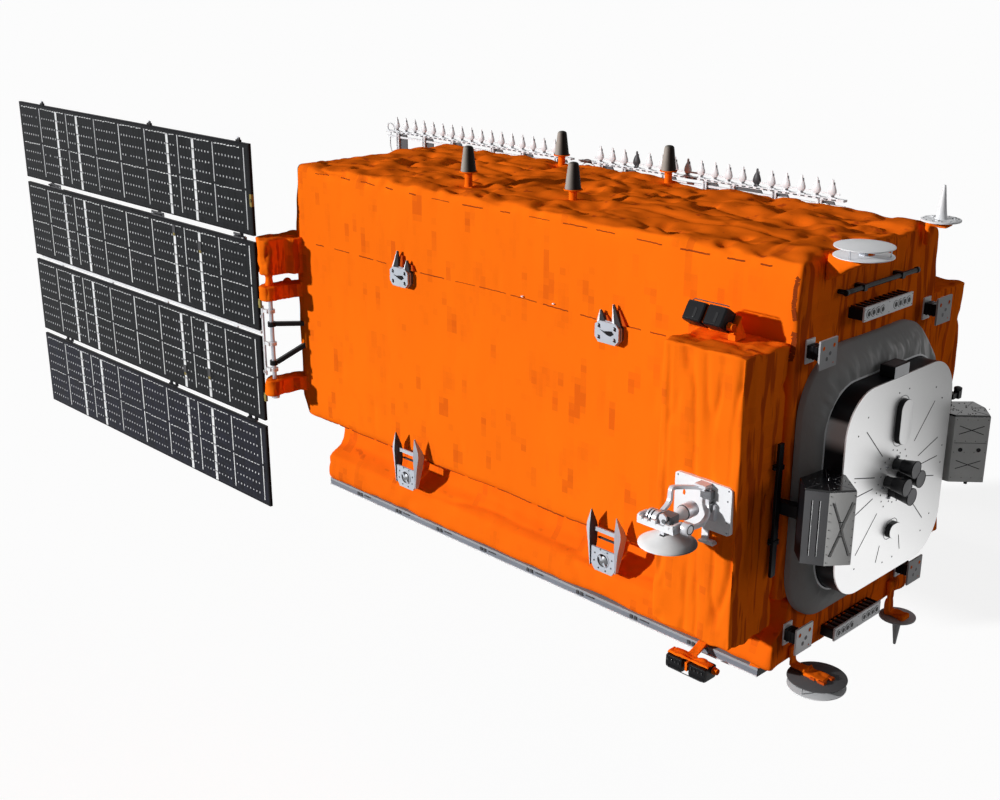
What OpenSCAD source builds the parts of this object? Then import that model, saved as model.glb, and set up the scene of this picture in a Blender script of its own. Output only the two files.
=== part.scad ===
// Satellite with a folding solar wing on its near side, as separate pieces.
// Millimetres. The origin is the middle of the launch ring's outer face:
// X runs along the body to the instrument end, Y to the far side, Z up.

/* [Body] */
// Length of the body along X
body_length = 4233; // [3500:1:5100]
// Width of the body along Y
body_width = 1434; // [1200:1:1720]
// Height from the base rail to the top of the body
body_height = 2400; // [2000:1:2900]
// Height of the lower keel under the main body
keel_height = 450; // [380:1:540]
// Corner radius of the main body
body_corner = 60; // [30:1:100]
// Length of each side locker along X
locker_length = 545; // [450:1:650]
// How far a side locker stands out from the body
locker_depth = 402; // [330:1:480]
// Height of a side locker
locker_height = 1643; // [1370:1:1800]
// Height of the underside of a side locker
locker_bottom = 320; // [260:1:380]

/* [Launch ring] */
// Outer radius of the ring flange
ring_radius = 470; // [390:1:470]
// Depth of the ring behind the body
ring_depth = 60; // [50:1:72]
// Radius of the bolt circle
ring_bolt_radius = 457; // [380:1:460]
// Diameter of each bolt hole
ring_bolt_hole = 9; // [7:0.5:10]

/* [Solar wing] */
// Length of every panel along X
panel_length = 3560; // [2960:1:3600]
// Height of one panel
panel_height = 665; // [556:1:672]
// Thickness of one panel
panel_thickness = 22; // [18:1:26]
// Gap between neighbouring panels
panel_gap = 47; // [42:1:56]
// Height of the wing's middle line above the base rail
wing_middle = 1135.5; // [1100:1:1170]
// Distance of the hinge tube behind the body
hinge_back = 140; // [130:1:168]
// Distance of the hinge tube from the middle plane
hinge_side = 930; // [910:1:960]
// Radius of the upright hinge tube
tube_radius = 16; // [13:1:19]
// Clearance between the hinge tube and the wing sleeves
tube_clear = 0.08; // [0.05:0.01:0.1]
// Radius of each folding knuckle
knuckle_radius = 8; // [7:0.5:9]
// Radius of each folding hinge pin
pin_radius = 4; // [3:0.5:5]

/* [Dish] */
// Radius of the steerable dish
dish_radius = 154; // [128:1:160]
// Radius of the round cross tube that tips the dish
cross_radius = 16; // [13:1:19]
// Height of the tipping axis above the base rail
dish_axis_height = 1105; // [1095:1:1130]
// Distance of the tipping axis from the locker face
dish_axis_out = 281; // [260:1:320]

/* [Antennas] */
// Radius of the flat disc antennas
disc_radius = 155; // [130:1:180]
// Radius of the round base under each end cone antenna
cone_disc_radius = 112; // [94:1:134]
// Height of the four cones on the roof
roof_cone_height = 165; // [138:1:198]
// Spacing of the feed elements along the rack
feed_pitch = 104; // [96:1:112]

/* [End plate] */
// Half width of the end plate
plate_half_width = 560; // [470:1:600]
// Height of the end plate
plate_height = 1200; // [1000:1:1260]
// Corner radius of the end plate
plate_corner = 250; // [210:1:300]
// Distance of the end plate's face from the body
plate_out = 237; // [200:1:280]

/* [Hidden] */
$fn = 64;
half_width = body_width / 2;
ring_height = (keel_height + body_height) / 2;
locker_front = body_length - 28;
locker_back = locker_front - locker_length;
locker_face = half_width + locker_depth;
locker_top = locker_bottom + locker_height;
wing_out = hinge_side + 60;
wing_back = wing_out - panel_thickness;
wing_root = -hinge_back - 74;
wing_tip = wing_root - panel_length;
pitch = panel_height + panel_gap;
low_mid = wing_middle - panel_gap / 2 - panel_height;
high_mid = wing_middle + panel_gap / 2;
top_low = high_mid + pitch;
bottom_low = low_mid - pitch;
top_axis = high_mid + panel_height + panel_gap / 2;
bottom_axis = low_mid - panel_gap / 2;
fold_out = wing_out + 5;
plate_mid = 1090;
swing_rise = 35;
swing_pin = 12;
run_fit = 0.08;
dish_x = body_length - 248;
swing_height = dish_axis_height + swing_rise;
dish_y = -(locker_face + dish_axis_out);
rack_out = half_width + 42;
rack_rail = body_height + 15;
keel_out = 13;
keel_start = 220;
keel_shoulder = 110;
rail_top = 40;
rail_low = 12;
rail_foot = -14;
collar_mid = plate_mid - 5;
collar_depth = 110;
face_thick = 12;
lift_side = 600;
lift_heights = [255, 1905];
lift_out = 100;
sensor_side = max(half_width, plate_half_width + 157);
thruster_x = body_length - 475;

orange = [0.95, 0.42, 0.08];
white = [0.92, 0.92, 0.93];
silver = [0.7, 0.71, 0.74];
black = [0.06, 0.06, 0.07];
grey = [0.35, 0.35, 0.36];
cells = [0.09, 0.1, 0.12];

// moves the body's own coordinates to the ring's outer face
module placed() translate([ring_depth, 0, -ring_height]) children();

// box from one corner to the other
module block(a, b) translate(a) cube([b[0] - a[0], b[1] - a[1], b[2] - a[2]]);

// flat rounded rectangle, sizes in its own plane
module rounded_flat(w, h, r) union() {
  square([w - 2 * r, h], center = true);
  square([w, h - 2 * r], center = true);
  for (x = [-1, 1]) for (y = [-1, 1])
    translate([x * (w / 2 - r), y * (h / 2 - r)]) circle(r);
}

// turns a flat Y-Z outline so that it is pulled along X
module along_x(x, length) translate([x, 0, 0]) rotate([90, 0, 90])
  linear_extrude(length) children();

// round bar along X
module bar_x(x, y, z, length, r) translate([x, y, z]) rotate([0, 90, 0])
  cylinder(h = length, r = r);

// round bar along Y
module bar_y(x, y, z, length, r) translate([x, y, z]) rotate([-90, 0, 0])
  cylinder(h = length, r = r);

module bus_body() color(orange) placed()
  along_x(0, body_length) translate([0, (keel_height + body_height) / 2])
    rounded_flat(body_width, body_height - keel_height, body_corner);

module lower_keel() color(orange) placed()
  along_x(keel_start, body_length - keel_start) polygon([
    [-half_width - keel_out, rail_top],
    [half_width + keel_out, rail_top],
    [half_width + keel_out, 217],
    [half_width - keel_shoulder, 330],
    [half_width - keel_shoulder, keel_height],
    [-half_width + keel_shoulder, keel_height],
    [-half_width + keel_shoulder, 330],
    [-half_width - keel_out, 217]]);

module base_rail() color(silver) placed() union() {
  block([keel_start + 12, -half_width - 18, rail_low],
    [body_length - 90, half_width + 18, rail_top]);
  for (s = [-1, 1])
    block([keel_start + 12, s * (half_width + 8) - 14, rail_foot],
      [body_length - 90, s * (half_width + 8) + 14, rail_low]);
}

module locker(s) color(orange) placed() translate([0, s * half_width, 0])
  mirror([0, s < 0 ? 1 : 0, 0]) translate([locker_back, 0, locker_bottom])
    cube([locker_length, locker_depth, locker_height]);

module near_locker() locker(-1);
module far_locker() locker(1);

module launch_ring() color(silver) placed() translate([0, 0, ring_height])
  rotate([0, -90, 0]) difference() {
    union() {
      cylinder(h = ring_depth, r = ring_radius - 30, $fn = 128);
      translate([0, 0, ring_depth - 12])
        cylinder(h = 12, r = ring_radius, $fn = 128);
      cylinder(h = 10, r = ring_radius - 4, $fn = 128);
    }
    translate([0, 0, -1])
      cylinder(h = ring_depth + 2, r = ring_radius - 45, $fn = 128);
    for (a = [0 : 30 : 359]) rotate(a) translate([ring_bolt_radius, 0, 11])
      cylinder(h = ring_depth, d = ring_bolt_hole, $fn = 32);
  }

module soft_collar() color(grey) placed() difference() {
  along_x(body_length, collar_depth) translate([0, collar_mid])
    rounded_flat(1330, 1600, 370);
  along_x(body_length - 1, collar_depth + 2) translate([0, plate_mid])
    rounded_flat(plate_half_width * 2 + 1, plate_height + 1, plate_corner);
}

module end_plate_body() color(black) placed()
  along_x(body_length, plate_out - face_thick) translate([0, plate_mid])
    rounded_flat(plate_half_width * 2, plate_height, plate_corner);

module end_plate_face() color(white) placed()
  along_x(body_length + plate_out - face_thick, face_thick) translate([0, plate_mid])
    rounded_flat(plate_half_width * 2, plate_height, plate_corner);

module end_plate_block() color(black) placed()
  translate([0, -75, plate_mid + plate_height / 2])
    block([body_length + plate_out - 90, -115, 0],
      [body_length + plate_out + 6, 115, 80]);

module oval_covers() color(white) placed()
  translate([body_length + plate_out, 0, 0]) {
    translate([0, -5, 1440]) along_x(0, 38) rounded_flat(120, 260, 59);
    translate([0, 0, 775]) along_x(0, 34) rounded_flat(118, 84, 40);
  }

module star_tubes() color(black) placed()
  for (p = [[-20, 1175], [43, 1103], [-100, 1092], [-38, 1020]])
    translate([body_length + plate_out, p[0], p[1]]) rotate([0, 90, 0])
      difference() {
        cylinder(h = 130, r1 = 28, r2 = 40);
        translate([0, 0, 60]) cylinder(h = 71, r1 = 28, r2 = 36);
      }

// six-sided instrument box; the far one sits a little further out and back
module sensor_box(s, back, out) color(grey) placed()
  translate([body_length - back, s * (sensor_side + out), 870 + out])
    linear_extrude(420) polygon([
      [231, s * 191], [339, s * 135], [428, s * 23],
      [278, s * -113], [152, s * -117], [128, s * 87]]);

module near_sensor_box() sensor_box(-1, 0, 0);
module far_sensor_box() sensor_box(1, 30, 12);

module sensor_struts() color(black) placed() for (s = [-1, 1])
  let (back = s > 0 ? 30 : 0, out = s > 0 ? 12 : 0)
    translate([body_length, 0, 1030]) linear_extrude(70) polygon([
      [-28, s * (sensor_side + 8)],
      [-28, s * (sensor_side + 50)],
      [133.1 - back, s * (sensor_side + 43 + out)],
      [141.3 - back, s * (sensor_side - 27 + out)]]);

module lifting_plates() color(white) placed()
  for (y = [-lift_side, lift_side]) for (z = lift_heights)
    difference() {
      block([body_length + lift_out, y - 80, z - 72],
        [body_length + lift_out + 12, y + 80, z + 72]);
      for (h = [[-48, 42], [42, 42], [15, 6], [-12, -18]])
        bar_x(body_length + lift_out - 1, y + h[0], z + h[1], 14, 9);
    }

module lifting_stubs() color(black) placed()
  for (y = [-lift_side, lift_side]) for (z = lift_heights)
    block([body_length, y - 34, z - 34], [body_length + lift_out, y + 34, z + 34]);

module connector(z) color(black) placed() union() {
  block([body_length, -245, z], [body_length + 84, 245, z + 74]);
  difference() {
    block([body_length + 84, -250, z - 4], [body_length + 96, 250, z + 78]);
    for (s = [-1, 1]) for (i = [0 : 3])
      bar_x(body_length + 80, s * (90 + i * 44), z + 37, 20, 15);
  }
}

module upper_connector_block() connector(2005);
module lower_connector_block() connector(98);

module top_guide_tube() color(black) placed() union() {
  bar_y(body_length + 42, -375, 2175, 750, 14);
  for (y = [-195, 195]) {
    block([body_length, y - 16, 2155], [body_length + 62, y + 16, 2195]);
  }
  block([body_length, -375, 2161], [body_length + 42, -347, 2189]);
}

module side_guide_bar() color(black) placed() union() {
  block([locker_front + 14, -half_width - 98, 670],
    [locker_front + 34, -half_width - 58, 1440]);
  for (z = [860, 1290])
    block([locker_front, -half_width - 105, z],
      [locker_front + 40, -half_width - 51, z + 26]);
}

module disc_pair(zs, r) union() {
  for (z = zs) translate([0, 0, z]) cylinder(h = 6, r = r);
  for (a = [30, 150, 270]) rotate(a)
    translate([r - 22, 0, min(zs)])
      cylinder(h = abs(zs[1] - zs[0]), r = 4, $fn = 24);
  translate([0, 0, min(zs)]) cylinder(h = abs(zs[1] - zs[0]), r = 20);
}

module upper_disc_antenna() color(white) placed()
  translate([body_length + 172, -445, 0]) disc_pair([2405, 2455], disc_radius);

module upper_disc_bracket() color(orange) placed()
  translate([0, -380, 0]) rotate([90, 0, 0]) linear_extrude(130)
    polygon([[body_length, 2260], [body_length + 230, 2390],
      [body_length + 230, 2405], [body_length, 2405]]);

module lower_disc_antenna() color(grey) placed()
  translate([body_length + 162, -515, 0]) disc_pair([0, -50], disc_radius + 14);

module lower_disc_bracket() color(orange) placed() union() {
  block([body_length, -565, 42], [body_length + 20, -500, 150]);
  block([body_length, -565, 30], [body_length + 110, -500, 46]);
  block([body_length + 90, -560, 6], [body_length + 110, -470, 46]);
  block([body_length + 90, -560, 6], [body_length + 225, -470, 22]);
}

module end_cone(z, s) translate([body_length + 67, 530, z])
  mirror([0, 0, s < 0 ? 1 : 0]) union() {
    cylinder(h = 12, r = cone_disc_radius);
    translate([0, 0, 12]) cylinder(h = 190, r1 = 32, r2 = 7);
  }

module upper_cone_antenna() color(white) placed() end_cone(2430, 1);
module lower_cone_antenna() color(grey) placed() end_cone(-40, -1);

module upper_cone_arm() color(orange) placed() union() {
  block([body_length, 480, 2290], [body_length + 30, 540, 2430]);
  block([body_length, 480, 2405], [body_length + 130, 560, 2430]);
}

module lower_cone_arm() color(orange) placed() union() {
  block([body_length, 480, -40], [body_length + 30, 540, 190]);
  block([body_length, 480, -40], [body_length + 130, 560, -16]);
}

roof_spots = [[1503, -460], [1347, 593], [2345, -374], [2292, 617]];

module roof_cones() color(grey) placed() for (p = roof_spots)
  translate([p[0], p[1], body_height + 88]) union() {
    cylinder(h = roof_cone_height - 12, r1 = 50, r2 = 32);
    translate([0, 0, roof_cone_height - 12])
      cylinder(h = 12, r1 = 32, r2 = 22);
  }

module roof_cone_stands() color(orange) placed() for (p = roof_spots)
  translate([p[0], p[1], body_height]) union() {
    cylinder(h = 80, r = 25);
    translate([0, 0, 80]) cylinder(h = 8, r = 59);
  }

// one half of the feed rack: top rail, lower rail, posts and hanging plates
module rack(x0, x1, posts) color(white) placed() union() {
  block([x0, rack_out - 22, rack_rail - 16], [x1, rack_out + 22, rack_rail]);
  block([x0, rack_out - 10, rack_rail - 56], [x1, rack_out + 10, rack_rail - 40]);
  for (x = posts) {
    block([x - 18, rack_out - 22, rack_rail - 250],
      [x + 18, rack_out + 10, rack_rail - 16]);
    block([x + 18, rack_out - 4, rack_rail - 150],
      [x + 110, rack_out + 4, rack_rail - 16]);
  }
  for (x = posts) if (x > 0)
    block([x - 30, half_width, rack_rail - 240],
      [x + 30, rack_out - 10, rack_rail - 150]);
}

module rear_feed_rack() rack(-766, 1300, [-650, -350, 60, 420, 790, 1150]);
module front_feed_rack()
  rack(1376, 3550, [1460, 1800, 2150, 2500, 2850, 3200, 3480]);

module feed(x) translate([x, rack_out, rack_rail]) union() {
  cylinder(h = 14, r = 12, $fn = 32);
  translate([0, 0, 14]) cylinder(h = 24, r1 = 14, r2 = 22, $fn = 32);
  translate([0, 0, 38]) cylinder(h = 42, r1 = 22, r2 = 8, $fn = 32);
  translate([0, 0, 80]) cylinder(h = 36, r = 5, $fn = 24);
}

module rear_feed_elements() color(white) placed()
  for (i = [0 : 16]) feed(-654 + i * feed_pitch + i * 7);

module front_feed_elements() color(white) placed()
  for (i = [0 : 17]) feed(1566 + i * feed_pitch + i * 7);

// two black cans side by side, each six sided
module cans(x, y, z, tip, pitch, h) for (dx = [0, pitch])
  translate([x + dx, y, z]) rotate([tip, 0, 0]) union() {
    cylinder(h = h, r = 64, $fn = 6);
    translate([0, 0, h]) cylinder(h = 18, r1 = 64, r2 = 50, $fn = 6);
  }

module upper_thrusters() color(black) placed()
  cans(thruster_x, -half_width - 188, 2050, 50, 150, 82);

module upper_thruster_bracket() color(orange) placed() union() {
  translate([thruster_x, -half_width - 188, 2050]) rotate([50, 0, 0])
    block([-66, -55, -14], [234, 55, 0]);
  along_x(thruster_x + 182, 50) translate([-half_width, 0])
    polygon([[-203, locker_top], [-103, locker_top], [-103, locker_top + 14],
      [-151, 2067], [-186, 2034], [-203, 1990]]);
}

module lower_thrusters() color(black) placed()
  cans(thruster_x - 58, -half_width - 153, 10, 180, 165, 66);

module lower_thruster_bracket() color(orange) placed() union() {
  block([thruster_x - 118, -half_width - 183, 10],
    [thruster_x + 167, -half_width - 123, 24]);
  along_x(thruster_x - 13, 60) translate([-half_width, 0])
    polygon([[-183, 10], [-123, 10], [-31, 44], [-keel_out, 50],
      [-keel_out, 84], [-133, 24], [-183, 24]]);
}

module upper_holddown(x) difference() {
  union() {
    translate([x, -half_width, 1765]) rotate([90, 0, 0]) linear_extrude(44)
      polygon([[-98, -50], [-72, -76], [72, -76], [98, -50], [98, 50],
        [72, 76], [-72, 76], [-98, 50]]);
    translate([x, -half_width, 1765]) rotate([90, 0, 0]) linear_extrude(44)
      polygon([[-98, 50], [-98, 120], [-62, 130], [-30, 76]]);
    translate([x, -half_width, 1765]) rotate([90, 0, 0]) linear_extrude(44)
      polygon([[98, 50], [98, 120], [62, 130], [30, 76]]);
  }
  translate([x, -half_width - 60, 1765]) rotate([-90, 0, 0])
    cylinder(h = 40, r = 22);
}

module upper_holddowns() color(silver) placed() {
  upper_holddown(1110);
  upper_holddown(3000);
}

// forked guide: holed front plate, two pointed blades and a cross piece
module lower_holddown(x) union() {
  difference() {
    translate([x, -half_width - 71, 0]) rotate([90, 0, 0]) linear_extrude(12)
      polygon([[-104, 300], [-70, 255], [70, 255], [104, 300], [104, 430],
        [-104, 430]]);
    bar_y(x, -half_width - 90, 350, 30, 46);
  }
  for (s = [-1, 1])
    translate([x + s * 104 - 7, -half_width - 83, 0]) rotate([90, 0, 90])
      linear_extrude(14) polygon([[0, 300], [72, 300], [83, keel_height + 70],
        [83, 560], [60, 600], [36, 655], [14, 600], [0, 430]]);
  block([x - 104, -half_width - 22, 530], [x + 104, -half_width, 556]);
}

module lower_holddowns() color(silver) placed() {
  lower_holddown(1200);
  lower_holddown(3035);
}

module dish_wall_plate() color(white) placed() union() {
  block([dish_x - 177, -locker_face - 12, 993], [dish_x + 192, -locker_face, 1261]);
  block([dish_x + 13, -locker_face - 12, 922], [dish_x + 55, -locker_face, 993]);
  block([dish_x + 13, -locker_face - 40, 922], [dish_x + 107, -locker_face, 934]);
}

// fixed arms from the wall plate to the two bearings of the cross tube
module dish_frame() color(silver) placed()
  translate([dish_x, -locker_face, dish_axis_height]) difference() {
    union() {
      block([0, -72, 117], [113, -12, 153]);
      block([83, -42, -55], [123, -12, 135]);
      translate([0, 0, 119]) linear_extrude(24) polygon([[5, -72], [5, -43],
        [-92, -139], [-92, -179], [-66, -179], [-66, -143]]);
      block([-92, -179, 55], [-66, -155, 143]);
      along_x(-92, 26) polygon([[-179, 75], [-155, 75], [-155, 55],
        [30 - dish_axis_out, 0], [5 - dish_axis_out, 7],
        [5 - dish_axis_out, 27], [30 - dish_axis_out, 33]]);
      along_x(99, 24) polygon([[-42, 117], [-21, 117], [-21, 45], [-59, 20],
        [-126, -37], [20 - dish_axis_out, -17], [-dish_axis_out, 7],
        [-121, -11], [-42, 45]]);
      bar_x(-123, -dish_axis_out, 0, 72, 38);
      bar_x(99, -dish_axis_out, 0, 42, 36);
    }
    bar_x(-135, -dish_axis_out, 0, 269, cross_radius + run_fit);
  }

// tips about X between the bearings; its yoke holds the swing motor
module dish_cross_tube() color(silver) placed()
  translate([dish_x, dish_y, dish_axis_height]) union() {
    bar_x(-151, 0, 0, 284, cross_radius);
    block([-151, -70, -27], [-137, 18, 25]);
    block([-151, -70, -27], [87, -58, 3]);
    block([73, -70, -27], [87, 18, 25]);
    block([-36, -30, -25], [36, 42, 55]);
    translate([0, 42, swing_rise]) rotate([-90, 0, 0])
      cylinder(h = 62, r1 = 20, r2 = 38);
    bar_y(0, 104, swing_rise, 86, 42);
    bar_y(0, -56, swing_rise, 27, swing_pin);
  }

module dish() color(white) placed()
  translate([dish_x, dish_y, dish_axis_height]) union() {
    difference() {
      union() {
        bar_y(0, -52, swing_rise, 14, 24);
        block([-13, -52, -65], [13, -38, 20]);
      }
      bar_y(0, -60, swing_rise, 30, swing_pin + run_fit);
    }
    block([-13, -52, -69], [13, 10, -55]);
    rotate_extrude($fn = 96) polygon([[0, -56], [40, -58],
      [dish_radius - 30, -94], [dish_radius, -112], [dish_radius, -120],
      [dish_radius - 34, -104], [40, -68], [0, -66]]);
  }

// plan outline shared by the two hinge arms: round nose and slanted root
module arm_plan() union() {
  translate([-hinge_back, -hinge_side]) circle(74);
  polygon([[-hinge_back - 73, -hinge_side + 13], [-hinge_back + 60, -hinge_side + 43],
    [-78, -828], [0, -650], [0, -500], [-110, -560], [-213, -840]]);
}

module hinge_arm(z, h) color(orange) placed() difference() {
  translate([0, 0, z]) linear_extrude(h) arm_plan();
  translate([-hinge_back, -hinge_side, z - 1])
    cylinder(h = h + 2, r = tube_radius + 0.1);
}

module upper_hinge_arm() hinge_arm(1400, 105);
module lower_hinge_arm() hinge_arm(672, 118);

module hinge_tube() color(silver) placed()
  translate([-hinge_back, -hinge_side, 0]) union() {
    translate([0, 0, 655]) cylinder(h = 850, r = tube_radius);
    translate([0, 0, 640]) cylinder(h = 31.5, r = 30);
  }

module drive_box() color(orange) placed() union() {
  translate([0, 0, 1590]) linear_extrude(265) polygon([
    [-262, -948], [-205, -966], [-180, -990], [-140, -1003], [-95, -987],
    [-70, -950], [-78, -870], [-78, -828], [-20, -785], [0, -650], [0, -500],
    [-262, -560]]);
  translate([-hinge_back, -hinge_side, 1505.5]) cylinder(h = 84.5, r = 30);
}

// braces from the tube to the back of the body, each with a clamp
module hinge_struts() color(black) placed() {
  for (p = [[1196, 1166], [898, 1070]]) {
    difference() {
      translate([-hinge_back, -hinge_side, p[0]]) cylinder(h = 36, r = 30);
      translate([-hinge_back, -hinge_side, p[0] - 1])
        cylinder(h = 38, r = tube_radius + 0.1);
    }
    intersection() {
      translate([-hinge_back + 9, -hinge_side + 22, p[0] + 18])
        rotate([0, 0, 66.97]) rotate([0, atan((p[0] - p[1]) / 335), 0])
          translate([0, -16, -16]) cube([360, 32, 32]);
      block([-400, -hinge_side, 600], [0, -400, 1500]);
    }
  }
}

// upright bar on the wing's root with the sleeves that turn on the tube
module wing_root_bar() color(white) placed() union() {
  block([-hinge_back - 65, -hinge_side - 42, 812],
    [-hinge_back - 50, -hinge_side - 27, 1350]);
  for (z = [850, 1050, 1300]) {
    difference() {
      translate([-hinge_back, -hinge_side, z]) cylinder(h = 26, r = 30);
      translate([-hinge_back, -hinge_side, z - 1])
        cylinder(h = 28, r = tube_radius + tube_clear);
    }
    difference() {
      block([-hinge_back - 55, -hinge_side - 38, z],
        [-hinge_back, -hinge_side - 20, z + 26]);
      translate([-hinge_back, -hinge_side, z - 1])
        cylinder(h = 28, r = tube_radius + tube_clear + 4);
    }
  }
  for (z = [830, 1260])
    block([-hinge_back - 74, -hinge_side - 50, z],
      [-hinge_back - 60, -hinge_side - 38, z + 20]);
}

module panel(z) block([wing_tip, -wing_out, z],
  [wing_root, -wing_back, z + panel_height]);

hinge_spots = [0.135, 0.635, 0.955];
function spot(k) = wing_tip + k * panel_length;

// tabs on the edge of a panel with knuckles in the given pieces
module knuckles(z_edge, z_axis, pieces) for (k = hinge_spots)
  for (p = pieces) difference() {
    union() {
      bar_x(spot(k) + p[0], -fold_out, z_axis, p[1] - p[0], knuckle_radius);
      block([spot(k) + p[0], -wing_out, min(z_edge, z_axis)],
        [spot(k) + p[1], -wing_out + 7, max(z_edge, z_axis)]);
    }
    bar_x(spot(k) + p[0] - 1, -fold_out, z_axis, p[1] - p[0] + 2,
      pin_radius + 0.08);
  }

outer_pieces = [[-60, -21], [21, 60]];
inner_pieces = [[-20, 20]];

module upper_middle_panel() color(cells) placed() union() {
  panel(high_mid);
  knuckles(high_mid + panel_height, top_axis, outer_pieces);
}

module lower_middle_panel() color(cells) placed() union() {
  panel(low_mid);
  knuckles(low_mid, bottom_axis, outer_pieces);
}

module top_panel() color(cells) placed() union() {
  panel(top_low);
  knuckles(top_low, top_axis, inner_pieces);
}

module bottom_panel() color(cells) placed() union() {
  panel(bottom_low);
  knuckles(bottom_low + panel_height, bottom_axis, inner_pieces);
}

module fold_hinge_pins() color(silver) placed()
  for (k = hinge_spots) for (z = [top_axis, bottom_axis])
    bar_x(spot(k) - 62, -fold_out, z, 124, pin_radius);

// rods and short links behind the two middle panels that make them one
module wing_tie_bars() color(white) placed() union() {
  block([wing_tip + 60, -wing_back, wing_middle - 9],
    [wing_root - 20, -wing_back + 16, wing_middle + 9]);
  for (k = [0.12, 0.37, 0.62, 0.9])
    block([spot(k) - 30, -wing_back, wing_middle - 70],
      [spot(k) + 30, -wing_back + 10, wing_middle + 70]);
}

module panel_edge_brackets() color([0.6, 0.5, 0.2]) placed()
  for (z = [1358, 627]) block([wing_root, -wing_out + 2, z],
    [wing_root + 10, -wing_back - 2, z + 28]);

bus_body();
lower_keel();
base_rail();
near_locker();
far_locker();
launch_ring();
soft_collar();
end_plate_body();
end_plate_face();
end_plate_block();
oval_covers();
star_tubes();
near_sensor_box();
far_sensor_box();
sensor_struts();
lifting_plates();
lifting_stubs();
upper_connector_block();
lower_connector_block();
top_guide_tube();
side_guide_bar();
upper_disc_antenna();
upper_disc_bracket();
lower_disc_antenna();
lower_disc_bracket();
upper_cone_antenna();
upper_cone_arm();
lower_cone_antenna();
lower_cone_arm();
roof_cones();
roof_cone_stands();
rear_feed_rack();
front_feed_rack();
rear_feed_elements();
front_feed_elements();
upper_thrusters();
upper_thruster_bracket();
lower_thrusters();
lower_thruster_bracket();
upper_holddowns();
lower_holddowns();
dish_wall_plate();
dish_frame();
dish_cross_tube();
dish();
drive_box();
upper_hinge_arm();
lower_hinge_arm();
hinge_tube();
hinge_struts();
wing_root_bar();
upper_middle_panel();
lower_middle_panel();
wing_tie_bars();
top_panel();
bottom_panel();
fold_hinge_pins();
panel_edge_brackets();
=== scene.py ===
"""Looks for a satellite: foil blankets, a folding cell wing, racks, sensors and a steerable dish."""

import math

import bmesh
import bpy
import numpy as np
from mathutils import Matrix, Vector
from mathutils.bvhtree import BVHTree


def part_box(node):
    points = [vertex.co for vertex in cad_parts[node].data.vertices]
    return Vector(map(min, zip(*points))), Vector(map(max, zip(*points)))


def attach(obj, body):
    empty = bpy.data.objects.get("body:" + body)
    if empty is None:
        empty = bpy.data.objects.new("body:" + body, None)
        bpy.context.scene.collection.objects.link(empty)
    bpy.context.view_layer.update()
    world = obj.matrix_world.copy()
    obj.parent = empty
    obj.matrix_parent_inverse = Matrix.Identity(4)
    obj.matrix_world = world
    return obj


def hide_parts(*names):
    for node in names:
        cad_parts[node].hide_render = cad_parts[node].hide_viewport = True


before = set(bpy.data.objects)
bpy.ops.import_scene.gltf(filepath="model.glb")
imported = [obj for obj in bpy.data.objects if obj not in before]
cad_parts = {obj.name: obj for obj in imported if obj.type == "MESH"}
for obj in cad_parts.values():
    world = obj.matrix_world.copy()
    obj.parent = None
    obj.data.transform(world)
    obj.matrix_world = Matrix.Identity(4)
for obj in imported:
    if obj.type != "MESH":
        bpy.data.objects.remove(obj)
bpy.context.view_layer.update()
body_low, body_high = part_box("bus_body")
body_length, body_top, half_width = 4233, 2400, 717
locker_face = half_width + 402


def at(x, y, z):
    """Metres in the row frame, from millimetres off the body's back, its middle and the base rail."""
    return Vector((body_low.x + x / 1000, y / 1000, body_high.z + (z - body_top) / 1000))


def spot(x=0, y=0, z=0, tip=0, pitch=0, turn=0):
    """A place in millimetres, turned in degrees about X, then Y, then Z."""
    turned = [math.radians(a) for a in (tip, pitch, turn)]
    rotation = Matrix.Rotation(turned[2], 4, "Z") @ Matrix.Rotation(turned[1], 4, "Y")
    return Matrix.Translation((x, y, z)) @ rotation @ Matrix.Rotation(turned[0], 4, "X")


# ---------------------------------------------------------------- finishes


class Value:
    """A shader socket that can be added, multiplied and compared."""

    def __init__(self, finish, socket):
        self.finish, self.socket = finish, socket

    def _math(self, operation, *terms):
        return self.finish.node("ShaderNodeMath", {"operation": operation}, terms)

    def __add__(self, other):
        return self._math("ADD", self, other)

    def __sub__(self, other):
        return self._math("SUBTRACT", self, other)

    def __rsub__(self, other):
        return self._math("SUBTRACT", other, self)

    def __mul__(self, other):
        return self._math("MULTIPLY", self, other)

    def __truediv__(self, other):
        return self._math("DIVIDE", self, other)

    def __gt__(self, other):
        return self._math("GREATER_THAN", self, other)

    def __abs__(self):
        return self._math("ABSOLUTE", self)

    def fraction(self):
        return self._math("FRACT", self)

    def whole(self):
        return self._math("FLOOR", self)

    def most(self, other):
        return self._math("MAXIMUM", self, other)

    def ramp(self, low, high):
        """0 below low, 1 above high, smooth between."""
        settings = {"interpolation_type": "SMOOTHSTEP"}
        ranged = self.finish.node("ShaderNodeMapRange", settings, {"Value": self})
        ranged.socket.node.inputs["From Min"].default_value = low
        ranged.socket.node.inputs["From Max"].default_value = high
        return ranged

    __radd__ = __add__
    __rmul__ = __mul__


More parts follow.
